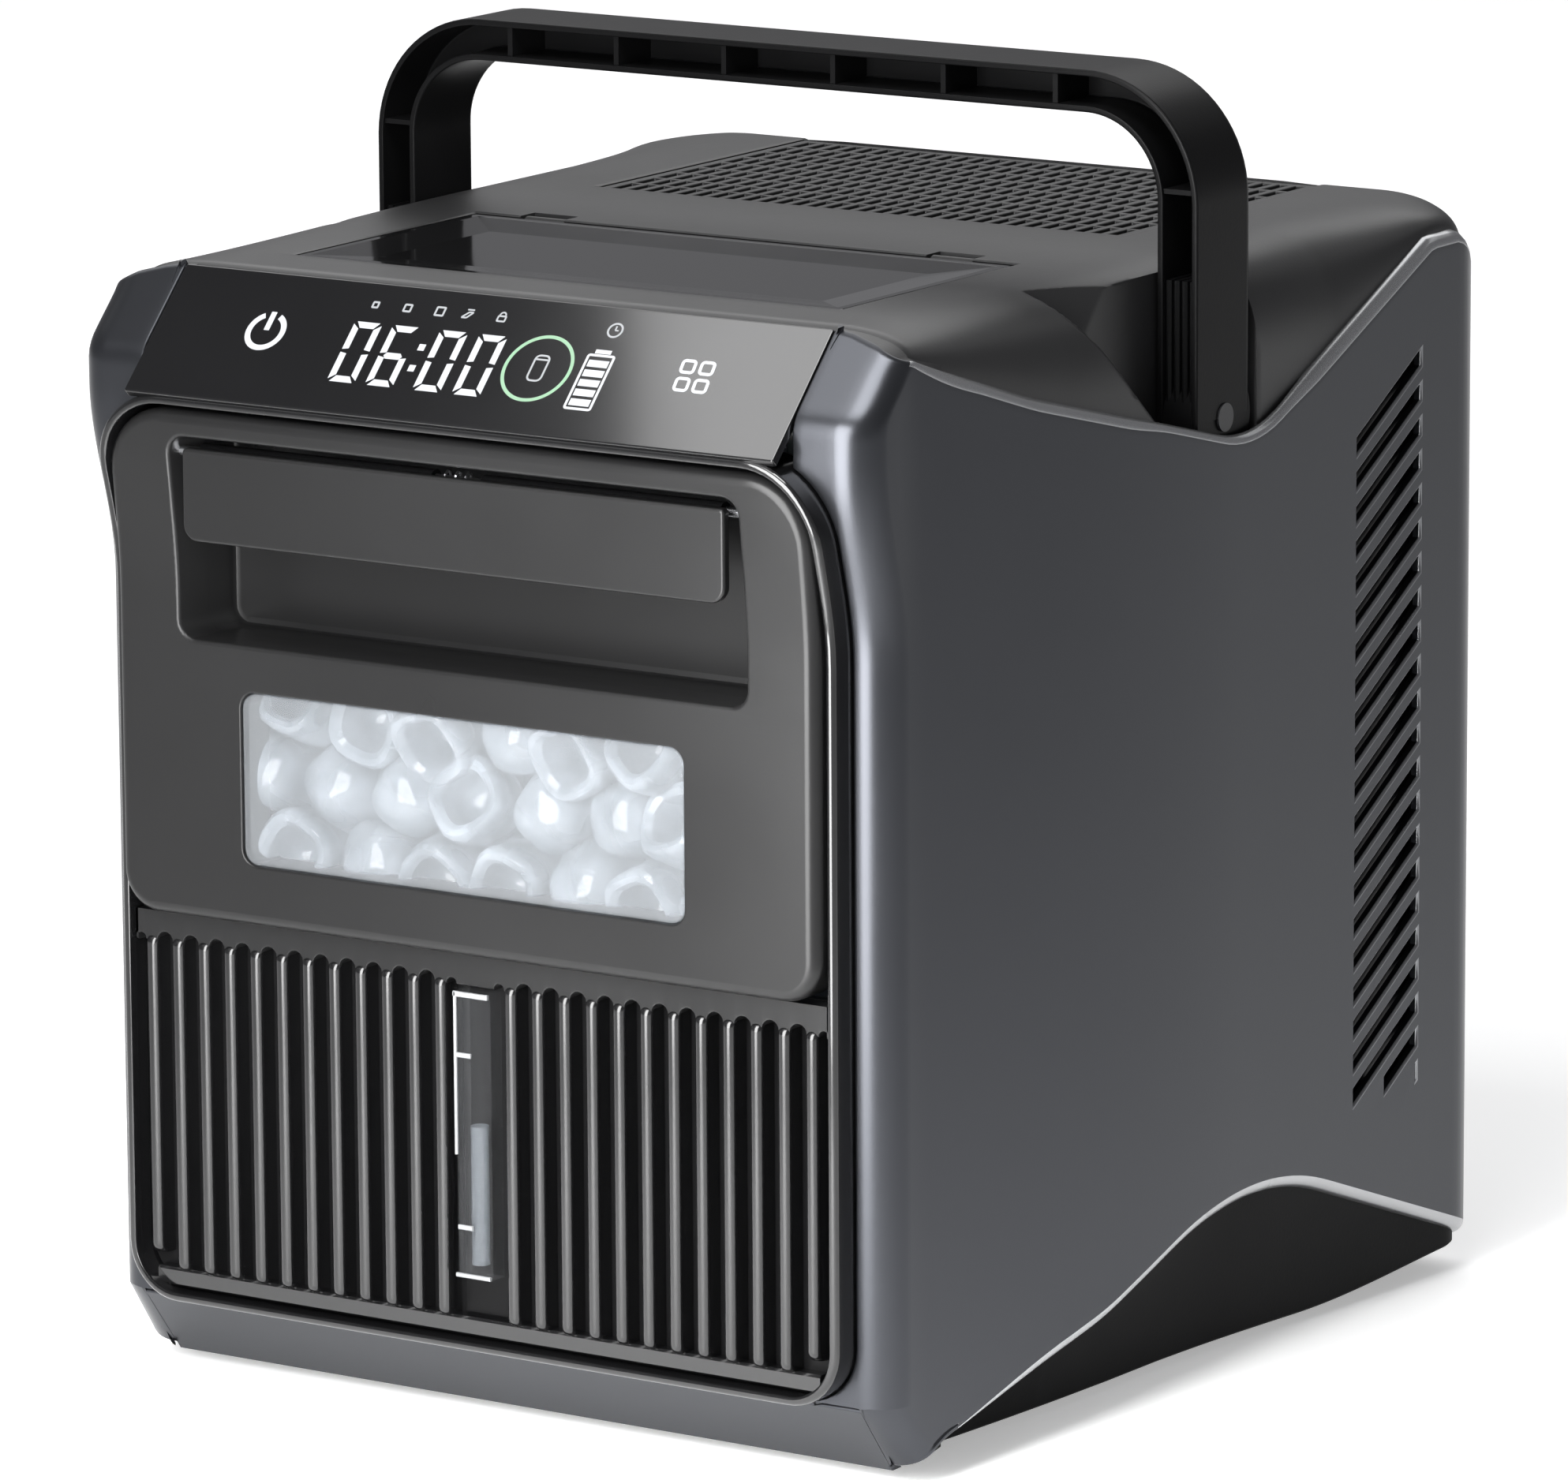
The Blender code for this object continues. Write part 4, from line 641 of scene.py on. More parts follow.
def lip(depth):
    """Radius of the shell's top lip: fine at the front corner, broad along the side, less by the handle."""
    beside_handle = ease((depth - 0.095) / 0.02) * ease((0.185 - depth) / 0.02)
    return 0.0010 + 0.0021 * ease((depth - 0.006) / 0.03) - 0.0010 * beside_handle


def hem(depth):
    """Radius of the shell's lower edge."""
    return 0.0003 + 0.0029 * ease((depth - 0.020) / 0.05)


def louvre_cutter():
    """Slanted slots up the field, their mouths widened; the lowest ones start at a level line."""
    skin = Skin()
    slope = LOUVRE_RISE / (LOUVRE_DEPTH[1] - LOUVRE_DEPTH[0])
    for i in range(-2, LOUVRE_COUNT):
        z = LOUVRE_LOW_Z + LOUVRE_PITCH * i
        near, far = LOUVRE_DEPTH[0] + max(LOUVRE_LOW_Z - z, 0.0) / slope, LOUVRE_DEPTH[1]
        near_z, far_z = max(z, LOUVRE_LOW_Z), z + LOUVRE_RISE

        def outline(grow):
            up, tip = grow * 1.2, grow * slope
            return [(near - grow, near_z - up - tip), (far + grow, far_z - up + tip),
                    (far + grow, far_z + LOUVRE_HEIGHT + up + tip),
                    (near - grow, near_z + LOUVRE_HEIGHT + up - tip)]
        rings = []
        for x, grow in ((REAR_HALF - 0.012, 0.0), (REAR_HALF - 0.0007, 0.0), (REAR_HALF - 0.0003, 0.00016),
                        (REAR_HALF, 0.0006), (REAR_HALF + 0.002, 0.0006)):
            rings.append([(x, Y0 + d, h) for d, h in outline(grow)])
        # The faces of the widened mouth (rows 1 and 2) take tone 1, the lighter paint: a painted highlight
        # on the slot edges.
        skin.rows(rings, round_columns=True, tone_of=lambda j, i: 1 if j in (1, 2) else 0)
        skin.cap(rings[0])
        skin.cap(rings[-1])
    return skin


def flipped(rows, side):
    return [[(side * x, y, z) for x, y, z in row] for row in rows]


def split_height(x, depth):
    """Where the lower rows of the shell meet its upper rows."""
    return max(CHAMFER_Z + 0.0002, table(LOWER_LINE, depth) + 0.006)


def foot_height(x, depth):
    return table(LOWER_LINE, depth) if depth > 0.014 else BOTTOM_Z


def shell_heights():
    """Row heights of the upper part, close together round the bezel's corners."""
    low, bend = CHAMFER_Z + 0.0002, 0.0141
    straight_end, corner_r, top = 0.2264, 0.0203, 0.27254
    heights = [low + bend * (1 - math.cos(a)) for a in angles(0, 90, 8)]
    heights += stations((heights[-1], straight_end), (44,))
    heights += [straight_end + corner_r * math.sin(a) for a in angles(0, 61, 8)[1:]]
    return heights + stations((heights[-1], top), (16,))


def grey_shells():
    """Left and right shells, each with its chamfered front corner and a flat louvre field."""
    heights = shell_heights()
    shares = [(z - heights[0]) / (heights[-1] - heights[0]) for z in heights]
    upper = shell_skin(split_height, shell_top, shares, inner_edge_x, None, lip)
    seam = half_width(0.015) - FRONT_CORNER_R
    lower = shell_skin(foot_height, split_height, [k / 6 for k in range(7)], lambda z: seam, hem, None)
    columns = [i for i, p in enumerate(upper[20]) if p[0] > REAR_HALF - 1e-4
               and LOUVRE_BOX[0] - 1e-6 <= p[1] - Y0 <= LOUVRE_BOX[1] + 1e-6]
    first, last = columns[0], columns[-1]
    low_row = min(j for j in range(len(upper)) if upper[j][first][2] > LOUVRE_LOW_Z - 0.004)
    high_row = max(j for j in range(len(shares)) if upper[j][first][2] < 0.2400)

    def inside(j, i):
        return low_row <= j < high_row and first <= i < last

    # Faces of the rolled top lip behind the front corner take the lighter paint, a painted highlight.
    def lip_highlight_tone(j, i):
        return 1 if j >= len(shares) - 1 and upper[20][i][1] - Y0 > 0.0100 else 0

    # Faces of the rolled lower hem take the lighter paint, a painted highlight.
    def hem_highlight_tone(j, i):
        return 1 if j < 6 and upper[20][i][1] - Y0 > 0.0240 else 0

    rim = [upper[low_row][i] for i in range(first, last + 1)]
    rim += [upper[j][last] for j in range(low_row + 1, high_row + 1)]
    rim += [upper[high_row][i] for i in range(last - 1, first - 1, -1)]
    rim += [upper[j][first] for j in range(high_row - 1, low_row, -1)]
    for side, word in ((-1, "left"), (1, "right")):
        skin = Skin()
        skin.rows(flipped(upper, side), skip=inside, tone_of=lip_highlight_tone)
        skin.rows(flipped(lower, side), tone_of=hem_highlight_tone)
        shell = piece("shell_" + word, skin, [SHELL, SHELL_EDGE_HIGHLIGHT],
                      stands_for=["side_panel_" + word])
        thicken(shell, 0.0012)
        field = Skin()
        rings = [[(x - inset, y, z) for x, y, z in rim] for inset in (0.0, 0.0022)]
        field.rows(rings, round_columns=True)
        field.cap(rings[0])
        field.cap(rings[1])
        panel = piece("louvre_field_" + word, field, [SHELL, LOUVRE_EDGE_HIGHLIGHT])
        cut(panel, louvre_cutter(), "louvre_cutter_" + word, [SHELL, LOUVRE_EDGE_HIGHLIGHT])
        if side < 0:
            panel.data.transform(Matrix.Scale(-1, 4, (1, 0, 0)))
            panel.data.flip_normals()
        screen = Skin()
        near, far = sorted((side * (REAR_HALF - 0.0045), side * (REAR_HALF - 0.0040)))
        screen.bar((near, Y0 + LOUVRE_BOX[0], LOUVRE_LOW_Z - 0.003), (far, Y0 + LOUVRE_BOX[1], 0.2450))
        piece("louvre_screen_" + word, screen, SLOT_LOOKS["black_paint"])
        corner_fill(upper, len(shares) - 1, side, word)


def cover_height(x, depth):
    """Height of the black top's outer face at (x, depth)."""
    return table([(u, z) for u, z in cover_section(depth) if u > 0.05], x)


def corner_fill(upper, rim_row, side, word):
    """Black strips inside the shell's edges: behind the front corner's top, and down the base."""
    front = cover_depths()[0]
    outer, inner = [], []
    for x, y, z in upper[rim_row][2:]:
        if y - Y0 > 0.026:
            break
        back = max(y - Y0 + 0.0045, front + 0.0012)
        near = min(x - 0.0006, plan_half(back) - WALL - 0.0012)
        outer.append((side * (x - 0.0006), y + 0.0008, z - 0.0006))
        inner.append((side * near, Y0 + back, cover_height(near, back) - 0.0005))
    top = Skin()
    top.rows([[(x, y + 0.0008, z - 0.0030) for x, y, z in outer], outer, inner])
    piece("corner_fill_" + word, top, SATIN)
    foot = Skin()
    line = [p for p in shell_line(0.05, BEZEL_HALF) if 0.030 < p[1] < REAR_DEPTH - 0.0005]
    rows = []
    for height in (0.060, 0.046, 0.021, BOTTOM_Z + 0.0006, BOTTOM_Z):
        row = []
        for i, (x, depth) in enumerate(line):
            lean = max(0.046 - height, 0.0) * 0.30 * (1 - ease((depth - 0.120) / 0.142))
            extra = 0.0006 if height == BOTTOM_Z else 0.0
            u, d = inward(line, 0.0028 + lean + extra)[i]
            top_z = table(LOWER_LINE, depth) + 0.004
            rise = 0.0040 * ease((depth - 0.190) / 0.072) * (height < 0.02)
            row.append((side * u, Y0 + min(d, 0.2655), min(height + rise, top_z)))
        rows.append(row)
    rows.append([(side * 0.098, y, z) for x, y, z in rows[-1]])
    foot.rows(rows)
    piece("base_side_" + word, foot, BASE)


def skirt():
    """Slanted grey strip under the front, set flush between the shells' lower corners."""
    half = half_width(0.015) - FRONT_CORNER_R - 0.00012
    low, high = shell_front(BOTTOM_Z), shell_front(CHAMFER_Z)
    profile = rounded([(low, BOTTOM_Z, 0.0006), (low + 0.004, BOTTOM_Z, 0), (high + 0.004, CHAMFER_Z, 0),
                       (high, CHAMFER_Z, 0.0007)], 5)
    skin = Skin()
    rows = [[(x, Y0 + d, z) for d, z in profile] for x in (-half, half)]
    skin.rows(rows, round_columns=True)
    skin.cap(rows[0])
    skin.cap(rows[-1])
    piece("skirt", skin, SHELL, stands_for=["front_skirt"])


# ---------------------------------------------------------------- top
def folded_edge(reach):
    """A point and the direction of the front edge of the room a folded leg takes."""
    fold = math.radians(HANDLE_SWING)
    along, across = (-math.sin(fold), math.cos(fold)), (-math.cos(fold), -math.sin(fold))
    return (HANDLE_AXIS[0] + reach * across[0], HANDLE_AXIS[1] + reach * across[1]), along, across


def scoop_share(depth, z):
    """1 inside the room a leg sweeps, falling to 0 outside it: softly ahead of it, sharply behind."""
    near, along, across = folded_edge(LEG_REACH)
    ahead = -((depth - near[0]) * across[0] + (z - near[1]) * across[1])
    behind, under = HANDLE_AXIS[0] + LEG_REACH - depth, z - HANDLE_AXIS[1] + LEG_REACH
    return min(ease((ahead + 0.0052) / 0.0062), ease((behind + 0.0012) / 0.0016),
               ease((under + 0.0012) / 0.0016))


def cover_section(depth):
    """Right half of the black top's section (x, z), flat top first, then the shoulder and side."""
    edge = table(UPPER_LINE, depth)
    outer = plan_half(depth) - WALL - 0.0005
    drop = min(SHOULDER_DROP, TOP_Z - edge + 0.0015)
    flat_end = outer - SHOULDER_WIDTH
    points = [(x, TOP_Z) for x in COVER_LINES if x < flat_end - 0.002]
    while len(points) < len(COVER_LINES):
        points.append((points[-1][0] + (flat_end - points[-1][0]) * 0.3, TOP_Z))
    for k in range(41):
        turn = math.pi / 2 * k / 40
        across, down = math.sin(turn) ** (2 / SHOULDER_POWER), math.cos(turn) ** (2 / SHOULDER_POWER)
        points.append((flat_end + SHOULDER_WIDTH * across, TOP_Z - drop * (1 - down)))
    end = min(edge - 0.006, TOP_Z - drop - 0.002)
    points += [(outer, z) for z in stations((TOP_Z - drop, end), (14,))]
    along = folded_edge(0.0)[1]
    carved = []
    for x, z in points:
        reach = (depth - HANDLE_AXIS[0]) * along[0] + (z - HANDLE_AXIS[1]) * along[1]
        floor = SCOOP_X - 0.42 * max(reach - 0.050, 0.0)   # narrower where the bail bends inward
        carved.append((min(x, outer + (floor - outer) * scoop_share(depth, z)), z))
    return carved


COVER_REAR = 0.2664                                    # depth of the black top's rear wall
COVER_LINES = [0.0, 0.0262, KNUCKLE_X[0], KNUCKLE_X[1], 0.0770, 0.0775, LID_SEAT[0], LID_SEAT[0] + 0.0005]


def cover_depths():
    """Depths of the top's sections, with lines on the edges of the lid's seat and of the grille."""
    marks = [0.0169, 0.0180, 0.0210, LID_SEAT[1] - 0.0005, LID_SEAT[1], 0.060, LID_SEAT[2],
             LID_SEAT[2] + 0.0005, KNUCKLE_REAR, 0.160, GRILLE_DEPTH[0] - 0.0005, GRILLE_DEPTH[0], 0.200,
             0.250, GRILLE_DEPTH[1] - 0.0050, GRILLE_DEPTH[1] - 0.0018]
    steps = [1, 2, 6, 1, 12, 56, 1, 7, 40, 3, 1, 14, 16, 3, 2]
    return marks[:1] + stations(marks, steps)


def black_top():
    """Black top: flat with a lid seat and a grille opening, rounded shoulders and leg scoops."""
    depths = cover_depths()
    sections = [(d, 0.0, cover_section(d)) for d in depths]
    last = depths[-1]
    radius = COVER_REAR - last
    for a in angles(0, 90, 7)[1:]:
        d = last + radius * math.sin(a)
        sections.append((d, radius * (1 - math.cos(a)), cover_section(d)))
    for fall in (0.0115, 0.0215):
        sections.append((COVER_REAR, fall, cover_section(COVER_REAR)))
    rows = []
    front_drop = (0.0012, 0.0003)
    for n, (d, fall, section) in enumerate(sections):
        fall += front_drop[n] if n < len(front_drop) else 0.0
        right = [(x, Y0 + d, z - fall) for x, z in section]
        rows.append([(-x, y, z) for x, y, z in reversed(right[1:])] + right)

    def middle(j, i):
        a, b = rows[j][i], rows[j + 1][i + 1]
        return abs(a[0] + b[0]) / 2, (a[1] + b[1]) / 2 - Y0, a[2]

    def open_at(j, i):
        x, d, z = middle(j, i)
        if z < TOP_Z - 0.003:
            return False
        seat = x < LID_SEAT[0] and LID_SEAT[1] < d < LID_SEAT[2]
        knuckle = KNUCKLE_X[0] < x < KNUCKLE_X[1] and LID_SEAT[2] < d < KNUCKLE_REAR
        grille = x < GRILLE_HALF and GRILLE_DEPTH[0] < d
        return seat or knuckle or (grille and sections[j][0] < last - 1e-9)

    skin = Skin()
    skin.rows(rows, skip=open_at)
    skin.verts = [(x, y, z - 0.00035 * on_rim(x, y - Y0)) for x, y, z in skin.verts]
    cover = piece("top_shell", skin, SATIN, stands_for=["top_cover"])
    thicken(cover, 0.0016, 50)


def on_rim(x, depth):
    """1 on the edge of the lid's seat or of the grille opening, where the rim is eased down."""
    near = 1e-5
    x = abs(x)
    seat = LID_SEAT[1] - near < depth < LID_SEAT[2] + near and x < LID_SEAT[0] + near
    seat_line = min(abs(x - LID_SEAT[0]), abs(depth - LID_SEAT[1]), abs(depth - LID_SEAT[2])) < near
    grille = GRILLE_DEPTH[0] - near < depth and x < GRILLE_HALF + near
    grille_line = abs(x - GRILLE_HALF) < near or abs(depth - GRILLE_DEPTH[0]) < near
    return 1.0 if (seat and seat_line) or (grille and grille_line) else 0.0


def grille():
    """Air outlet: a plate with rows of short slots running front to back."""
    columns, rows_count, web = 31, 9, 0.0021
    half, (front, rear) = GRILLE_HALF - GAP, (GRILLE_DEPTH[0] + GAP, GRILLE_DEPTH[1] - 0.0018)
    border = 0.0016
    pitch_x, pitch_d = 2 * (half - border) / columns, (rear - front - 2 * border) / rows_count
    xs, ds = [-half], [front]
    for i in range(columns):
        x = -half + border + pitch_x * i
        xs += [x + web / 2, x + pitch_x - web / 2]
    for j in range(rows_count):
        d = front + border + pitch_d * j
        ds += [d + 0.0006, d + pitch_d - 0.0006]
    xs.append(half)
    ds.append(rear)
    low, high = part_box("top_grille")
    skin = Skin()
    skin.rows([[(x, Y0 + d, high.z) for x in xs] for d in ds], skip=lambda j, i: i % 2 == 1 and j % 2 == 1)
    plate = piece("grille_plate", skin, SATIN, stands_for=["top_grille"])
    thicken(plate, 0.0030)
    mod = plate.modifiers.new("soft_edges", "BEVEL")
    mod.width, mod.segments, mod.limit_method = 0.0003, 2, "ANGLE"
    under = Skin()
    z = low.z - 0.0016
    under.bar((-half, Y0 + front, z), (half, Y0 + rear, z + 0.0006))
    piece("grille_dust_screen", under, SLOT_LOOKS["black_paint"])


def lid():
    """Smoked lid with a sunken middle between mitred slopes, and its hinge arms."""
    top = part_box("top_lid")[1].z
    skin = Skin()
    place = lambda u, v, w: (u, Y0 + v, top - w)
    slope, sunk = 0.0120, 0.0012
    levels = edge_levels(0.0007, 0.0030, 4) + [(0.0028, 0.0), (0.0034, 0.00008), (0.0028 + slope, sunk)]
    plaque(skin, LID_HALF, LID_DEPTH, (0.0012, 0.0012), levels, place, 4, 6)
    piece("smoked_lid", skin, LID, "lid", ["top_lid"], 2.0)
    arms = Skin()
    for low, high in both_sides(0.053, 0.065):
        arms.bar((low, Y0 + LID_DEPTH[1] - 0.0015, 0.2698), (high, Y0 + LID_AXIS[0], 0.2727), 0.0003)
        rod(arms, (Y0 + LID_AXIS[0], LID_AXIS[1]), HINGE_PIN_R, low, high)
    piece("lid_hinge_arms", arms, SATIN, "lid")


HINGE_PIN_R = 0.0023


def rod(skin, centre, radius, low, high):
    """Round rod across the body, from low to high in x."""
    lathe(skin, "x", centre, [(0.0, low), (radius, low), (radius, high), (0.0, high)])


def lathe(skin, axis, centre, profile, sides=24):
    """Adds a turned solid: profile is (radius, place along the axis), closed at zero radius."""
    def spot(r, s, a):
        u, v = centre[0] + r * math.cos(a), centre[1] + r * math.sin(a)
        return (s, u, v) if axis == "x" else (u, v, s)
    rows = [[spot(r, s, 2 * math.pi * i / sides) for i in range(sides)] for r, s in profile]
    skin.rows(rows, round_columns=True)


# ---------------------------------------------------------------- handle
def handle():
    """Carrying handle: one channel section swept round the bail, ribs inside, grooved lower legs."""
    leg_x, bar_z = HANDLE_HALF - LEG_THICK / 2, HANDLE_TOP - BAR_THICK / 2
    centre = (leg_x - HANDLE_BEND_R, bar_z - HANDLE_BEND_R)
    path = [(leg_x, HANDLE_AXIS[1] + z, 0.0) for z in (0.0, 0.02, 0.04)]
    for a in angles(0, 90, 18):
        path.append((centre[0] + HANDLE_BEND_R * math.cos(a), centre[1] + HANDLE_BEND_R * math.sin(a), a))
    path += [(-x, z, math.pi - a) for x, z, a in reversed(path)]
    front, back = HANDLE_DEPTH
    wall, floor = 0.0016, front + 0.0150
    rows = []
    for x, z, angle in path:
        h = (LEG_THICK + (BAR_THICK - LEG_THICK) * math.sin(angle)) / 2
        section = rounded([(-h, front, 0.0006), (-h, back, 0.0020), (h, back, 0.0030), (h, front, 0.0006),
                           (h - wall, front, 0.0003), (h - wall, floor, 0.0005),
                           (-h + wall, floor, 0.0005), (-h + wall, front, 0.0003)], 4)
        rows.append([(x + n * math.cos(angle), Y0 + d, z + n * math.sin(angle)) for n, d in section])
    skin = Skin()
    skin.rows(rows, round_columns=True)
    skin.cap(rows[0])
    skin.cap(rows[-1])
    piece("carrying_handle", skin, HANDLE, "handle", ["handle"])
    inner = Skin()
    deep = (Y0 + front + 0.0008, Y0 + front + 0.016)
    for i in range(6):
        x = HANDLE_RIB_PITCH * (i - 2.5)
        inner.bar((x - 0.0007, deep[0], HANDLE_TOP - BAR_THICK + 0.0012),
                  (x + 0.0007, deep[1], HANDLE_TOP - 0.0012), 0.0003)
    for outer_low, outer_high in both_sides(HANDLE_HALF - LEG_THICK, HANDLE_HALF):
        low, high = outer_low + 0.0012, outer_high - 0.0012
        inner.bar((low, deep[0], 0.2908), (high, deep[1], 0.2920), 0.0003)
        grooves = 4
        width = (high - low) / grooves
        for k in range(grooves):
            inner.bar((low + width * k + 0.0003, deep[0] + 0.0004, HANDLE_AXIS[1] - 0.004),
                      (low + width * (k + 1) - 0.0003, deep[1], 0.2700), 0.0006)
        inner.bar((low, deep[0] + 0.0022, HANDLE_AXIS[1] - 0.004), (high, deep[1], 0.2696))
        low, high = outer_low + 0.00025, outer_high - 0.00025
        lathe(inner, "x", (Y0 + HANDLE_AXIS[0], HANDLE_AXIS[1]),
              [(0.0, low), (0.0122, low), (0.0128, low + 0.0006), (0.0128, high - 0.0006),
               (0.0122, high), (0.0, high)], 40)
    piece("handle_ribs", inner, HANDLE, "handle")


# ---------------------------------------------------------------- front
def bezel():
    """Gloss ring round the front, its face following the body's forward sweep."""
    strip = BEZEL_STRIP
    profile = [(0.0, 0.014), (0.0, 0.0012), (0.0002, 0.0006), (0.0006, 0.0002), (0.0011, 0.0),
               (strip - 0.0006, 0.0), (strip - 0.0002, 0.0002), (strip, 0.0006), (strip, 0.014)]
    rings = [ring_of(BEZEL_HALF, BEZEL_Z, BEZEL_RADII, inset,
                     lambda u, v, w=w: (u, Y0 + min(bezel_face(v) + w, 0.0118), v), 12, 40)
             for inset, w in profile]
    skin = Skin()
    skin.rows(rings, round_rows=True, round_columns=True)
    piece("gloss_bezel", skin, GLOSS, stands_for=["front_bezel"])


FLAT_W = 0.012                                         # a level's w past this is a plain depth


def door_place(u, v, w):
    return (u, Y0 + (door_face(v) + w if w < FLAT_W else w - FLAT_W), v)


def flat_place(depth):
    """Places (u, v, w) on an upright plane at a depth, with w behind it."""
    return lambda u, v, w: (u, Y0 + depth + w, v)


def door():
    """Drawer front: softly rounded rim, grip pocket and window opening with rounded mouths."""
    skin = Skin()
    levels = [(0.0, FLAT_W + DOOR_BACK)] + edge_levels(0.0030, 0.0031, 6)[1:]
    plaque(skin, DOOR_HALF, DOOR_Z, (0.017, 0.010), levels, door_place, 10, 40)
    front = piece("door_front", skin, DOOR, "drawer", ["drawer_front"])
    for name, half, span, corner, mouth, side in (
            ("pocket_cutter", POCKET_HALF, POCKET_Z, 0.0045, mouth_levels(0.0011, 0.004, 4), 24),
            ("window_cutter", WINDOW_HALF, WINDOW_Z, 0.004, mouth_levels(0.0005, 0.004, 3), 6)):
        hole = Skin()
        levels = mouth + [(0.0, FLAT_W + DOOR_BACK + 0.004)]
        plaque(hole, half, span, (corner, corner), levels, door_place, 6, side)
        cut(front, hole, name)
    tub = Skin()
    start, back = DOOR_FACE + 0.0028, POCKET_BACK
    wall = 0.0016
    profile = [(0.0, start), (0.0, back - 0.0015), (0.0006, back - 0.0004), (0.0018, back)]

    def tub_ring(grow, radius, inset, w):
        span = (POCKET_Z[0] - grow, POCKET_Z[1] + grow)
        return ring_of(POCKET_HALF + grow, span, (radius, radius), inset,
                       lambda u, v: (u, Y0 + w, v), 6, 24)

    inner_rings = [tub_ring(0.0001, 0.0046, inset, w) for inset, w in profile]
    outer_rings = [tub_ring(wall, 0.006, 0.0, w) for w in (back + wall, start)]
    tub.rows(inner_rings, round_columns=True)
    tub.rows(outer_rings, round_columns=True)
    tub.rows([outer_rings[1], inner_rings[0]], round_columns=True)
    count = len(inner_rings[-1]) // 2
    for ring in (inner_rings[-1], outer_rings[0]):
        tub.rows([ring[:count], ring[:count - 1:-1]])
    piece("grip_pocket", tub, DOOR, "drawer")


def window():
    skin = Skin()
    half, span = WINDOW_HALF - GAP, (WINDOW_Z[0] + GAP, WINDOW_Z[1] - GAP)
    plaque(skin, half, span, (0.0038, 0.0038), edge_levels(0.0004, 0.0025, 3),
           flat_place(DOOR_FACE + 0.0004), 6, 4)
    piece("window_pane", skin, PANE, "drawer", ["ice_window"])


def paddle():
    """Latch plate in the upper half of the pocket, with its webs to the pin."""
    skin = Skin()
    plaque(skin, PADDLE_HALF, PADDLE_Z, (0.0012, 0.0040), edge_levels(0.0008, 0.0022, 4),
           flat_place(PADDLE_FACE), 6, 6)
    piece("latch_plate", skin, DOOR, "paddle", ["latch_paddle"])
    webs = Skin()
    pin_depth, pin_z = -0.0052, 0.2322
    for low, high in both_sides(0.007, 0.074):
        webs.bar((low, Y0 + PADDLE_FACE + 0.0015, 0.2308), (high, Y0 + pin_depth, 0.2336), 0.0003)
        rod(webs, (Y0 + pin_depth, pin_z), HINGE_PIN_R, low, high)
    piece("latch_webs", webs, HANDLE, "paddle")


def rib(skin, x, low, high):
    """One upright rib with a round nose and round ends."""
    r = RIB_WIDTH / 2
    tip = 0.0026
    rows = []
    lift = [(0.0, 1.0), (0.12, 0.62), (0.35, 0.30), (0.65, 0.08), (1.0, 0.0)]
    heights = [(low + tip * t, back) for t, back in lift]
    heights += [(high - tip * t, back) for t, back in reversed(lift)]
    for z, back in heights:
        nose = RIB_FACE + tip * back
        row = [(x - r, Y0 + 0.0035, z), (x - r, Y0 + nose + r * 0.9, z)]
        for a in angles(180, 0, 10)[1:-1]:
            row.append((x + r * math.cos(a), Y0 + nose + r * 0.9 * (1 - math.sin(a)), z))
        row += [(x + r, Y0 + nose + r * 0.9, z), (x + r, Y0 + 0.0035, z)]
        rows.append(row)
    skin.rows(rows, round_columns=True)
    skin.cap(rows[0])
    skin.cap(rows[-1])


def ribbed_front():
    """Tank front: back plate, upright ribs, and a band whose lower edge arches over each slot."""
    plate_low, plate_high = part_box("lower_front")
    half, span = plate_high.x, (plate_low.z, plate_high.z)
    skin = Skin()
    plaque(skin, half, span, (0.002, 0.0118), [(0.0, 0.0056), (0.0, 0.0030)], flat_place(0.0), 8, 8)
    piece("tank_plate", skin, HANDLE, stands_for=["lower_front"])
    ribs = Skin()
    centres = []
    for side in (-1, 1):
        for i in range(RIB_COUNT):
            x = side * (RIB_OUTER - RIB_PITCH * i)
            centres.append(x)
            rib(ribs, x, RIB_Z[0] + (0.004 if i == 0 else 0.0), RIB_Z[1] - 0.0002)
    piece("front_ribs", ribs, RIBS)
    centres.sort()
    band_low, band_top, face = RIB_Z[1] - 0.0034, DOOR_Z[0] - 0.0008, RIB_FACE + 0.0010
    slot_half = (RIB_PITCH - RIB_WIDTH) / 2 + 0.0002
    line = [(-half + 0.0008, band_low + 0.001)]
    edges = [(a + b) / 2 for a, b in zip(centres, centres[1:]) if b - a < RIB_PITCH * 1.5]
    edges += [-RIB_OUTER - RIB_PITCH / 2 + 0.0006, RIB_OUTER + RIB_PITCH / 2 - 0.0006, -0.0068, 0.0068]
    for x in sorted(edges):
        wide = slot_half * (0.62 if abs(x) > RIB_OUTER or abs(x) < 0.008 else 1.0)
        for a in angles(180, 0, 8):
            line.append((x + wide * math.cos(a), band_low + 0.0012 + wide * math.sin(a)))
    line.append((half - 0.0008, band_low + 0.001))
    band = Skin()
    rows = []
    for depth, lift in ((0.0036, 0.0), (face + 0.0006, 0.0), (face + 0.0001, 0.0003), (face, 0.0007)):
        rows.append([(x, Y0 + depth, z + lift) for x, z in line])
    rows.append([(x, Y0 + face, band_top) for x, z in line])
    rows.append([(x, Y0 + 0.0036, band_top) for x, z in line])
    band.rows(rows, round_rows=True)
    band.cap([row[0] for row in rows])
    band.cap([row[-1] for row in rows])
    piece("slot_arches", band, DOOR)
    foot = Skin()
    foot.bar((-half + 0.004, Y0 + RIB_FACE + 0.0022, plate_low.z + 0.0004),
             (half - 0.004, Y0 + 0.0036, RIB_Z[0] + 0.0006), 0.0006)
    piece("rib_sill", foot, GLOSS)


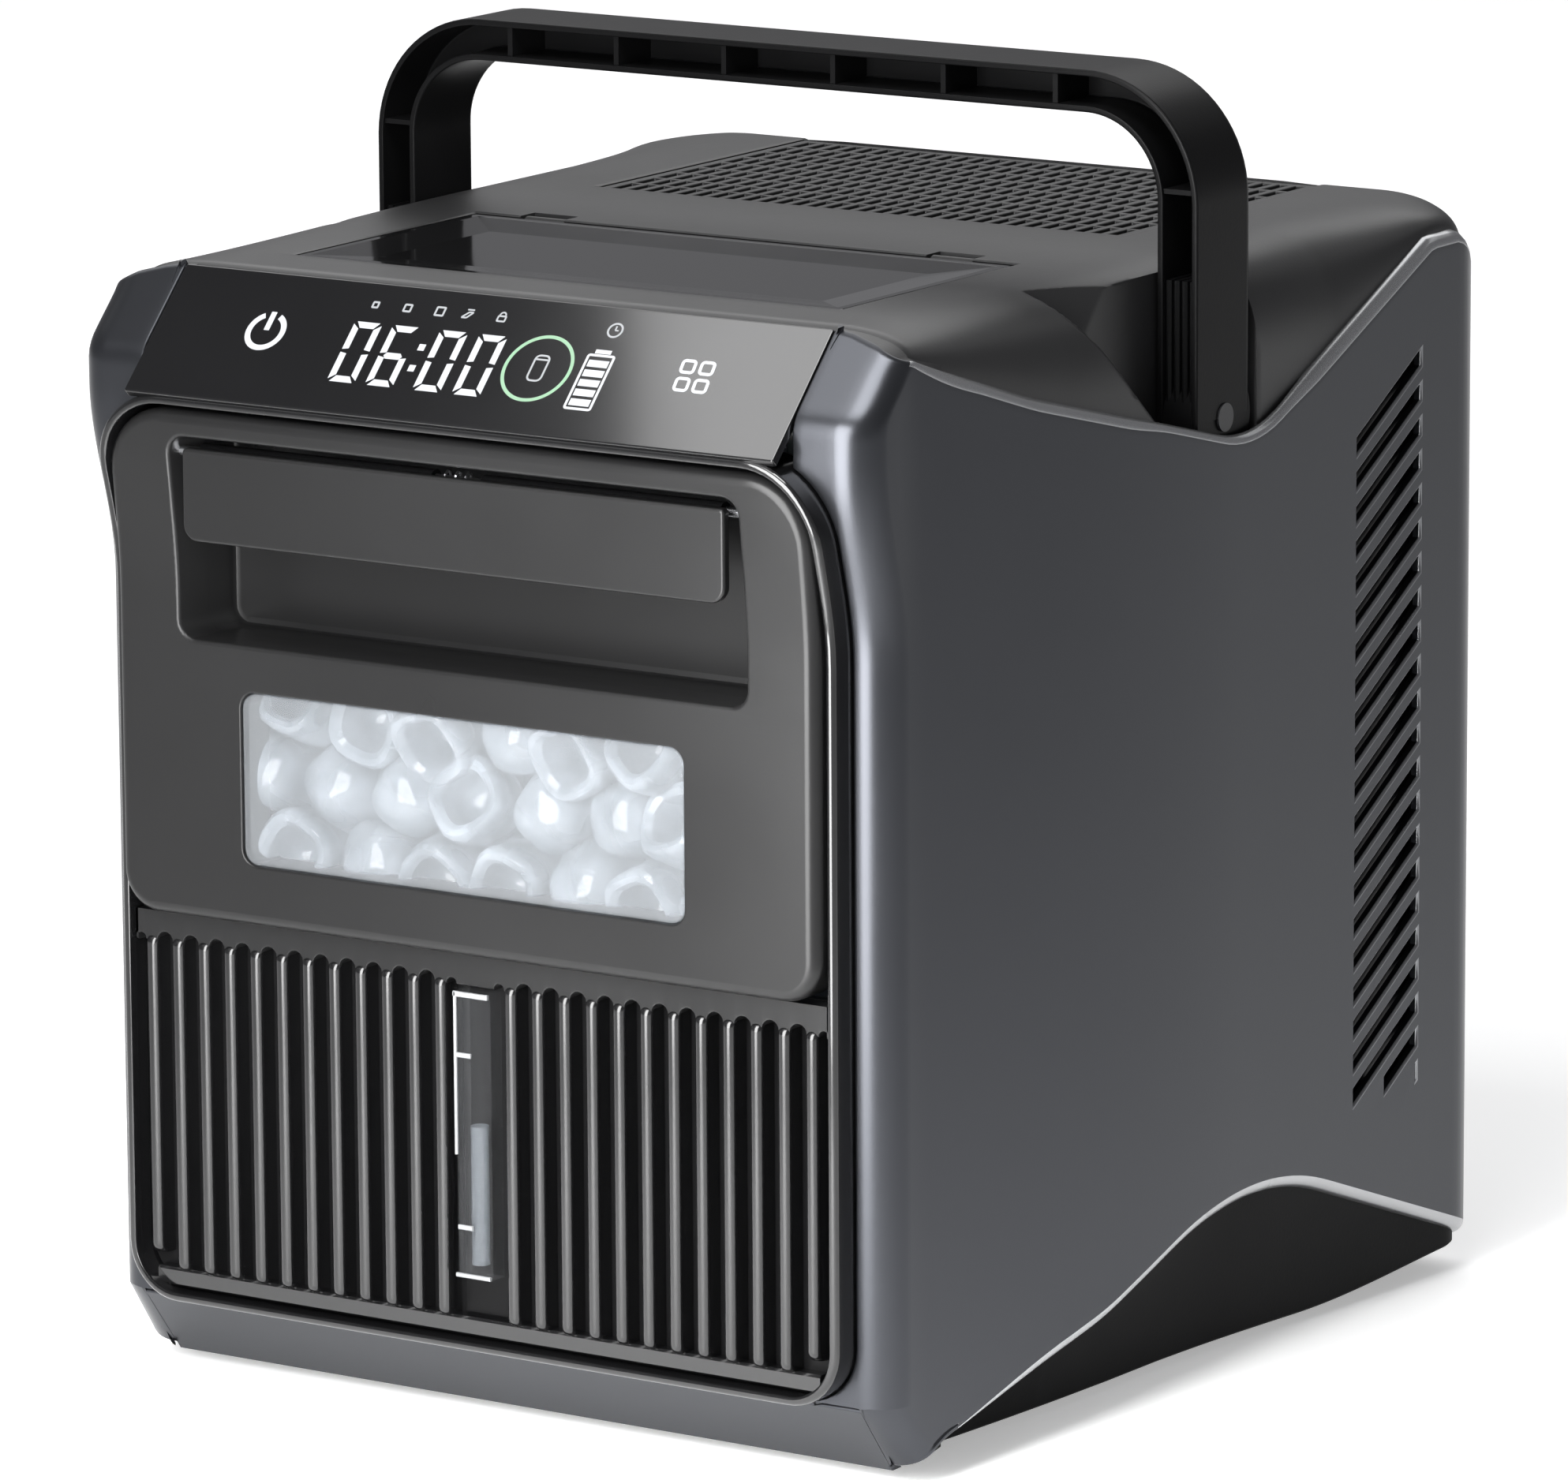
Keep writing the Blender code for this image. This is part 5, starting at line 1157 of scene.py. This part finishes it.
def gauge():
    """Clear water-level tube between the ribs, with level marks, and light bars along its edges that are a
    painted highlight.
    """
    low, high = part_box("level_gauge")
    skin = Skin()
    skin.bar(low, high, 0.0012)
    piece("gauge_tube", skin, CLEAR, stands_for=["level_gauge"])
    # Light grey for the level marks and for bars along the tube's edges; the edge bars are a painted
    # highlight of light caught in the clear plastic.
    edge_highlight_and_marks = surface("gauge_edge_highlight_and_marks", (0.22, 0.225, 0.23), 0.3, 0.0, 500.0, 0.1, 0.05)
    marks = Skin()
    face, edge = low.y - 0.00012, 0.0009
    left, right = low.x + 0.0001, high.x - 0.0001
    # Bars down the left edge and at the top and bottom right corners: painted highlight.
    for far, base, top in ((low.x + edge, low.z + 0.030, high.z - 0.0001), (right, high.z - 0.0013, high.z),
                           (right, low.z, low.z + 0.0010)):
        marks.bar((left, face, base), (far, face + 0.0008, top), 0.0002)
    for z in (0.094, 0.052):
        marks.bar((low.x + edge, face, z - 0.0006), (low.x + 0.0050, face + 0.0006, z + 0.0006), 0.0002)
    piece("gauge_marks_and_edge_highlights", marks, edge_highlight_and_marks)
    back = Skin()
    back.bar((-0.0068, Y0 + 0.0021, low.z - 0.010), (0.0068, Y0 + 0.0030, high.z + 0.0026), 0.0003)
    piece("gauge_recess", back, HANDLE)
    column = Skin()
    radius, base, level = 0.0022, low.z + 0.003, 0.0765
    profile = [(0.0, base), (radius, base), (radius, level), (0.0, level)]
    lathe(column, "z", (0.0, low.y + 0.0034), profile, 20)
    water = clear("gauge_water", (0.16, 0.18, 0.20), 0.30, 0.02)
    piece("gauge_water", column, water)


# ---------------------------------------------------------------- control panel
SLANT_DIR = Vector((0, SLANT_HIGH[0] - SLANT_LOW[0], SLANT_HIGH[1] - SLANT_LOW[1]))
SLANT_LENGTH = SLANT_DIR.length
SLANT_DIR.normalize()
SLANT_OUT = Vector((0, -SLANT_DIR.z, SLANT_DIR.y))


def on_glass(u, v, w=0.0):
    """A point of the slanted glass: u across, v up the slope, w above the face."""
    return Vector((u, Y0 + SLANT_LOW[0], SLANT_LOW[1])) + SLANT_DIR * v + SLANT_OUT * w


def glass_panel():
    skin = Skin()
    plaque(skin, PANEL_HALF, (0.0, SLANT_LENGTH), (0.0006, 0.0006), edge_levels(0.0004, 0.0021, 3),
           lambda u, v, w: on_glass(u, v, -w), 3, 3)
    piece("control_glass", skin, GLASS, stands_for=["control_panel"])


class Sign:
    """Flat lit marks on the glass, drawn in millimetres about an origin, leaning by lean per mm up."""

    DEPTHS = (0.00001, 0.00007)                        # back and front of the ink above the glass

    def __init__(self, u, v, lean=0.0):
        self.skin = Skin()
        self.u, self.v, self.lean = u, v, lean

    def spot(self, a, b, w):
        return on_glass((self.u + a + b * self.lean) / 1000, (self.v + b) / 1000, w)

    def shape(self, outline):
        low, high = [[self.spot(a, b, w) for a, b in outline] for w in self.DEPTHS]
        self.skin.rows([low, high], round_columns=True)
        self.skin.cap(low)
        self.skin.cap(high)

    def block(self, left, low, right, high):
        self.shape([(left, low), (right, low), (right, high), (left, high)])

    def arc(self, a, b, radius, width, start, stop, steps=28):
        turns = angles(start, stop, steps)
        closed = abs(stop - start) >= 360
        rows = []
        for w in self.DEPTHS:
            for r in (radius - width / 2, radius + width / 2):
                rows.append([self.spot(a + r * math.cos(t), b + r * math.sin(t), w) for t in turns])
        order = [rows[0], rows[1], rows[3], rows[2]]
        if closed:
            order = [row[:-1] for row in order]
        self.skin.rows(order, round_rows=True, round_columns=closed)
        if not closed:
            self.skin.cap([row[0] for row in order])
            self.skin.cap([row[-1] for row in order])

    def line(self, points, width):
        for (a, b), (c, d) in zip(points, points[1:]):
            along = Vector((c - a, d - b)).normalized()
            side = Vector((-along.y, along.x)) * width / 2
            self.shape([(a - side.x, b - side.y), (c - side.x, d - side.y), (c + side.x, d + side.y),
                        (a + side.x, b + side.y)])

    def frame(self, a, b, width, height, radius, line):
        """Outline of a rounded rectangle, its line drawn inward."""
        rows = []
        for inset, r, depths in ((0.0, radius, self.DEPTHS),
                                 (line, max(radius - line, 0.05), self.DEPTHS[::-1])):
            w, h = (width - 2 * inset) / 2, (height - 2 * inset) / 2
            ring = rounded([(a - w, b - h, r), (a + w, b - h, r), (a + w, b + h, r), (a - w, b + h, r)], 4)
            rows += [[self.spot(p, q, depth) for p, q in ring] for depth in depths]
        self.skin.rows(rows, round_rows=True, round_columns=True)

    def done(self, name, mat):
        return piece(name, self.skin, mat)


SEGMENTS = {"0": "abcdef", "6": "acdefg"}


def digit(sign, a, b, char, width, height):
    """Seven-segment digit with its lower left corner at (a, b)."""
    half, gap, w = height / 2, 0.28, 1.75
    bars = {
        "a": [(w * 0.25 + gap, height), (width - w * 0.25 - gap, height),
              (width - w - gap, height - w), (w + gap, height - w)],
        "d": [(w + gap, w), (width - w - gap, w), (width - w * 0.25 - gap, 0), (w * 0.25 + gap, 0)],
        "g": [(w * 0.6 + gap, half), (w + gap, half + w / 2), (width - w - gap, half + w / 2),
              (width - w * 0.6 - gap, half), (width - w - gap, half - w / 2), (w + gap, half - w / 2)],
    }
    taper, end = w * 0.75, w * 0.25 + gap
    bars["f"] = [(0, half + gap + 0.3), (0, height - end), (w, height - end - taper), (w, half + gap + 0.6)]
    bars["e"] = [(0, end), (0, half - gap), (w, half - gap - 0.3), (w, end + taper)]
    for left, right in ("fb", "ec"):
        bars[right] = [(width - p, q) for p, q in bars[left]]
    for name in SEGMENTS[char]:
        sign.shape([(a + p, b + q) for p, q in bars[name]])


def display():
    """Lit marks under the glass: power, time, progress ring, battery, mode and small indicators."""
    time = Sign(0, 0)
    for char, left in zip("0600", (-37.0, -26.1, -12.5, -1.3)):
        digit(time, left, 8.8, char, 7.9, 17.3)
    for height in (14.7, 20.7):
        time.block(-16.3, height - 0.9, -14.5, height + 0.9)
    time.done("display_time", WHITE_INK)

    power = Sign(-60.5, 20.7)
    power.arc(0, 0, 4.8, 1.5, 116, 424)
    power.block(-0.75, 0.3, 0.75, 5.6)
    power.done("power_mark", WHITE_INK)

    ring = Sign(18.6, 18.3)
    ring.arc(0, 0, 9.0, 0.9, 0, 360, 64)
    ring.done("progress_ring", GREEN_INK)
    cup = Sign(18.8, 18.4)
    cup.frame(0, 0, 4.4, 7.6, 1.5, 0.5)
    cup.line([(-1.9, 2.4), (1.9, 2.4)], 0.45)
    cup.done("cup_mark", DIM_INK)

    battery = Sign(34.2, 16.0)
    battery.frame(0, 0, 7.8, 15.8, 0.8, 0.65)
    battery.block(-2.2, 8.1, 2.2, 9.2)
    for k in range(5):
        base = -6.7 + 2.75 * k
        battery.block(-2.8, base, 2.8, base + 1.9)
    battery.done("battery_mark", WHITE_INK)

    clock = Sign(34.6, 30.9)
    clock.arc(0, 0, 1.9, 0.5, 0, 360, 24)
    clock.line([(0, 1.2), (0, 0), (0.9, 0)], 0.4)
    clock.done("timer_mark", DIM_INK)

    mode = Sign(61.3, 20.6, lean=-0.08)
    for a in (-2.6, 2.6):
        for b in (-2.5, 2.5):
            mode.frame(a, b, 4.3, 4.1, 1.2, 0.85)
    mode.done("mode_mark", WHITE_INK)

    small = Sign(0, 31.2)
    for a, size in ((-33.6, 2.0), (-24.4, 2.4), (-15.1, 2.8)):
        small.frame(a, 0, size, size, 0.4, 0.5)
    small.line([(-8.6, -1.0), (-7.0, 0.6), (-5.8, 0.6), (-7.2, -1.0), (-8.6, -1.0)], 0.45)
    small.line([(-7.7, 1.3), (-5.8, 1.3)], 0.4)
    small.frame(2.5, -0.3, 2.6, 1.9, 0.4, 0.45)
    small.arc(2.5, 0.7, 0.8, 0.4, 0, 180, 10)
    small.done("indicator_marks", DIM_INK)


# ---------------------------------------------------------------- ice
def ice_bullet(skin, place, length, radius):
    """Thimble-shaped ice, squarish in section: domed closed end, and a hollow at the open end."""
    profile = [(0.0, length / 2)]
    for a in angles(90, 0, 5)[1:]:
        profile.append((radius * 0.88 * math.cos(a), length / 2 - radius * 0.7 * (1 - math.sin(a))))
    profile.append((radius * 0.95, 0.0))
    for share, rise in ((1.0, 0.3), (0.97, 0.1), (0.88, 0.0), (0.74, 0.02), (0.62, 0.14)):
        profile.append((radius * share, -length / 2 + radius * rise))
    for a in angles(0, 90, 5)[:-1]:
        profile.append((radius * 0.52 * math.cos(a), -length * 0.10 + radius * 0.4 * math.sin(a)))
    profile.append((0.0, -length * 0.10 + radius * 0.4))
    sides = 24
    rows = []
    for r, s in profile:
        row = []
        for i in range(sides):
            a = 2 * math.pi * i / sides
            square = (abs(math.cos(a)) ** 3 + abs(math.sin(a)) ** 3) ** (-1 / 3)
            row.append(place @ Vector((r * square * math.cos(a), r * square * math.sin(a), s)))
        rows.append(row)
    skin.rows(rows, round_columns=True)


def ice():
    """Heap of ice behind the window, in the drawer's basket; open ends mostly face the window."""
    rng = random.Random(7)
    skin = Skin()
    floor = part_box("ice_basket")[0].z + 0.0022
    for row, depth in enumerate((0.0100, 0.0345, 0.0580, 0.0820)):
        for layer in range(3):
            count = 8 - (row + layer) % 2
            for i in range(count):
                x = 0.0202 * (i - (count - 1) / 2) - 0.004 + rng.uniform(-0.001, 0.001)
                z = floor + 0.0112 + 0.0172 * layer + rng.uniform(-0.0008, 0.0008)
                turn = 90 if rng.random() < 0.75 else -90
                tilt = Euler((math.radians(-turn + rng.uniform(-38, 38)), rng.uniform(-0.5, 0.5), 0))
                spin = Euler((0, 0, rng.uniform(0, 1.5)))
                place = Matrix.Translation((x, Y0 + depth + rng.uniform(-0.0008, 0.0008), z))
                place = place @ tilt.to_matrix().to_4x4() @ spin.to_matrix().to_4x4()
                ice_bullet(skin, place, rng.uniform(0.0200, 0.0225), rng.uniform(0.0094, 0.0104))
    piece("ice_heap", skin, ICE, "drawer")


# ---------------------------------------------------------------- studio
def area(name, place, aim, size, power):
    light = bpy.data.lights.new(name, "AREA")
    light.shape = "RECTANGLE"
    light.size, light.size_y = size
    light.energy = power
    ob = bpy.data.objects.new(name, light)
    ob.location = place
    ob.rotation_euler = (Vector(aim) - Vector(place)).to_track_quat("-Z", "Y").to_euler()
    ob.visible_camera = False
    bpy.context.scene.collection.objects.link(ob)


def studio():
    world = bpy.data.worlds.new("studio")
    bpy.context.scene.world = world
    world.use_nodes = True
    tree = world.node_tree
    back = tree.nodes["Background"]
    place = tree.nodes.new("ShaderNodeTexCoord")
    split = tree.nodes.new("ShaderNodeSeparateXYZ")
    tree.links.new(place.outputs["Generated"], split.inputs["Vector"])
    sky = tint(tree, split.outputs["Z"], (0.24, 0.24, 0.25), (0.10, 0.10, 0.105), (0.0, 0.9))
    tree.links.new(sky, back.inputs["Color"])
    back.inputs["Strength"].default_value = 1.0

    mesh = bpy.data.meshes.new("floor")
    reach = 12.0
    corners = [(-reach, -reach, 0), (reach, -reach, 0), (reach, reach, 0), (-reach, reach, 0)]
    mesh.from_pydata(corners, [], [(0, 1, 2, 3)])
    pale = surface("pale_floor", (0.90, 0.90, 0.90), 0.7, 0.0, 40.0, 0.02, 0.05, shade=0.985)
    preset(pale.node_tree.nodes["Principled BSDF"],
           {"Emission Color": (1.0, 1.0, 1.0, 1.0), "Emission Strength": 0.38})
    mesh.materials.append(pale)
    floor = bpy.data.objects.new("floor", mesh)
    bpy.context.scene.collection.objects.link(floor)

    area("rear_overhead", (-1.05, 1.35, 1.5), (-1.05, 1.35, 0), (2.2, 2.4), 29)
    area("front_left_overhead", (-0.65, -1.5, 1.5), (-0.65, -1.5, 0), (1.5, 1.3), 4)
    area("rear_right", (0.62, 1.75, 1.5), (0.62, 1.75, 0), (1.1, 1.1), 1.9)
    area("front_strip", (0.067, -0.437, 0.235), (0.11, -0.13, 0.15), (0.25, 0.45), 6.2)
    area("corner_top", (0.165, -0.28, 0.745), (0.165, -0.28, 0), (0.29, 0.26), 1.9)
    area("glass_glow", (0.012, -0.275, 0.75), (0.012, -0.275, 0), (0.60, 0.26), 2.8)


def camera():
    """The view: a long lens in front and to the right, looking a little down."""
    azimuth, elevation, roll = (math.radians(a) for a in (33.2215, 11.8043, -0.34435))
    ahead = Vector((-math.sin(azimuth) * math.cos(elevation), math.cos(azimuth) * math.cos(elevation),
                    -math.sin(elevation)))
    right = Vector((math.cos(azimuth), math.sin(azimuth), 0))
    up = right.cross(ahead)
    across = right * math.cos(roll) + up * math.sin(roll)
    upward = up * math.cos(roll) - right * math.sin(roll)
    data = bpy.data.cameras.new("camera")
    data.lens, data.sensor_width = 230.5, 36.0
    data.clip_start, data.clip_end = 0.1, 60.0
    ob = bpy.data.objects.new("camera", data)
    ob.matrix_world = Matrix.Translation((1.3252, -2.0193, 0.6517)) @ Matrix(
        (across, upward, -ahead)).transposed().to_4x4()
    bpy.context.scene.collection.objects.link(ob)
    bpy.context.scene.camera = ob


bpy.context.scene.view_settings.view_transform = "Standard"
for build in (camera, studio, dress_frame, grey_shells, skirt, black_top, grille, lid, handle, bezel, door,
              window, paddle, ribbed_front, gauge, glass_panel, display, ice, even_shading):
    build()
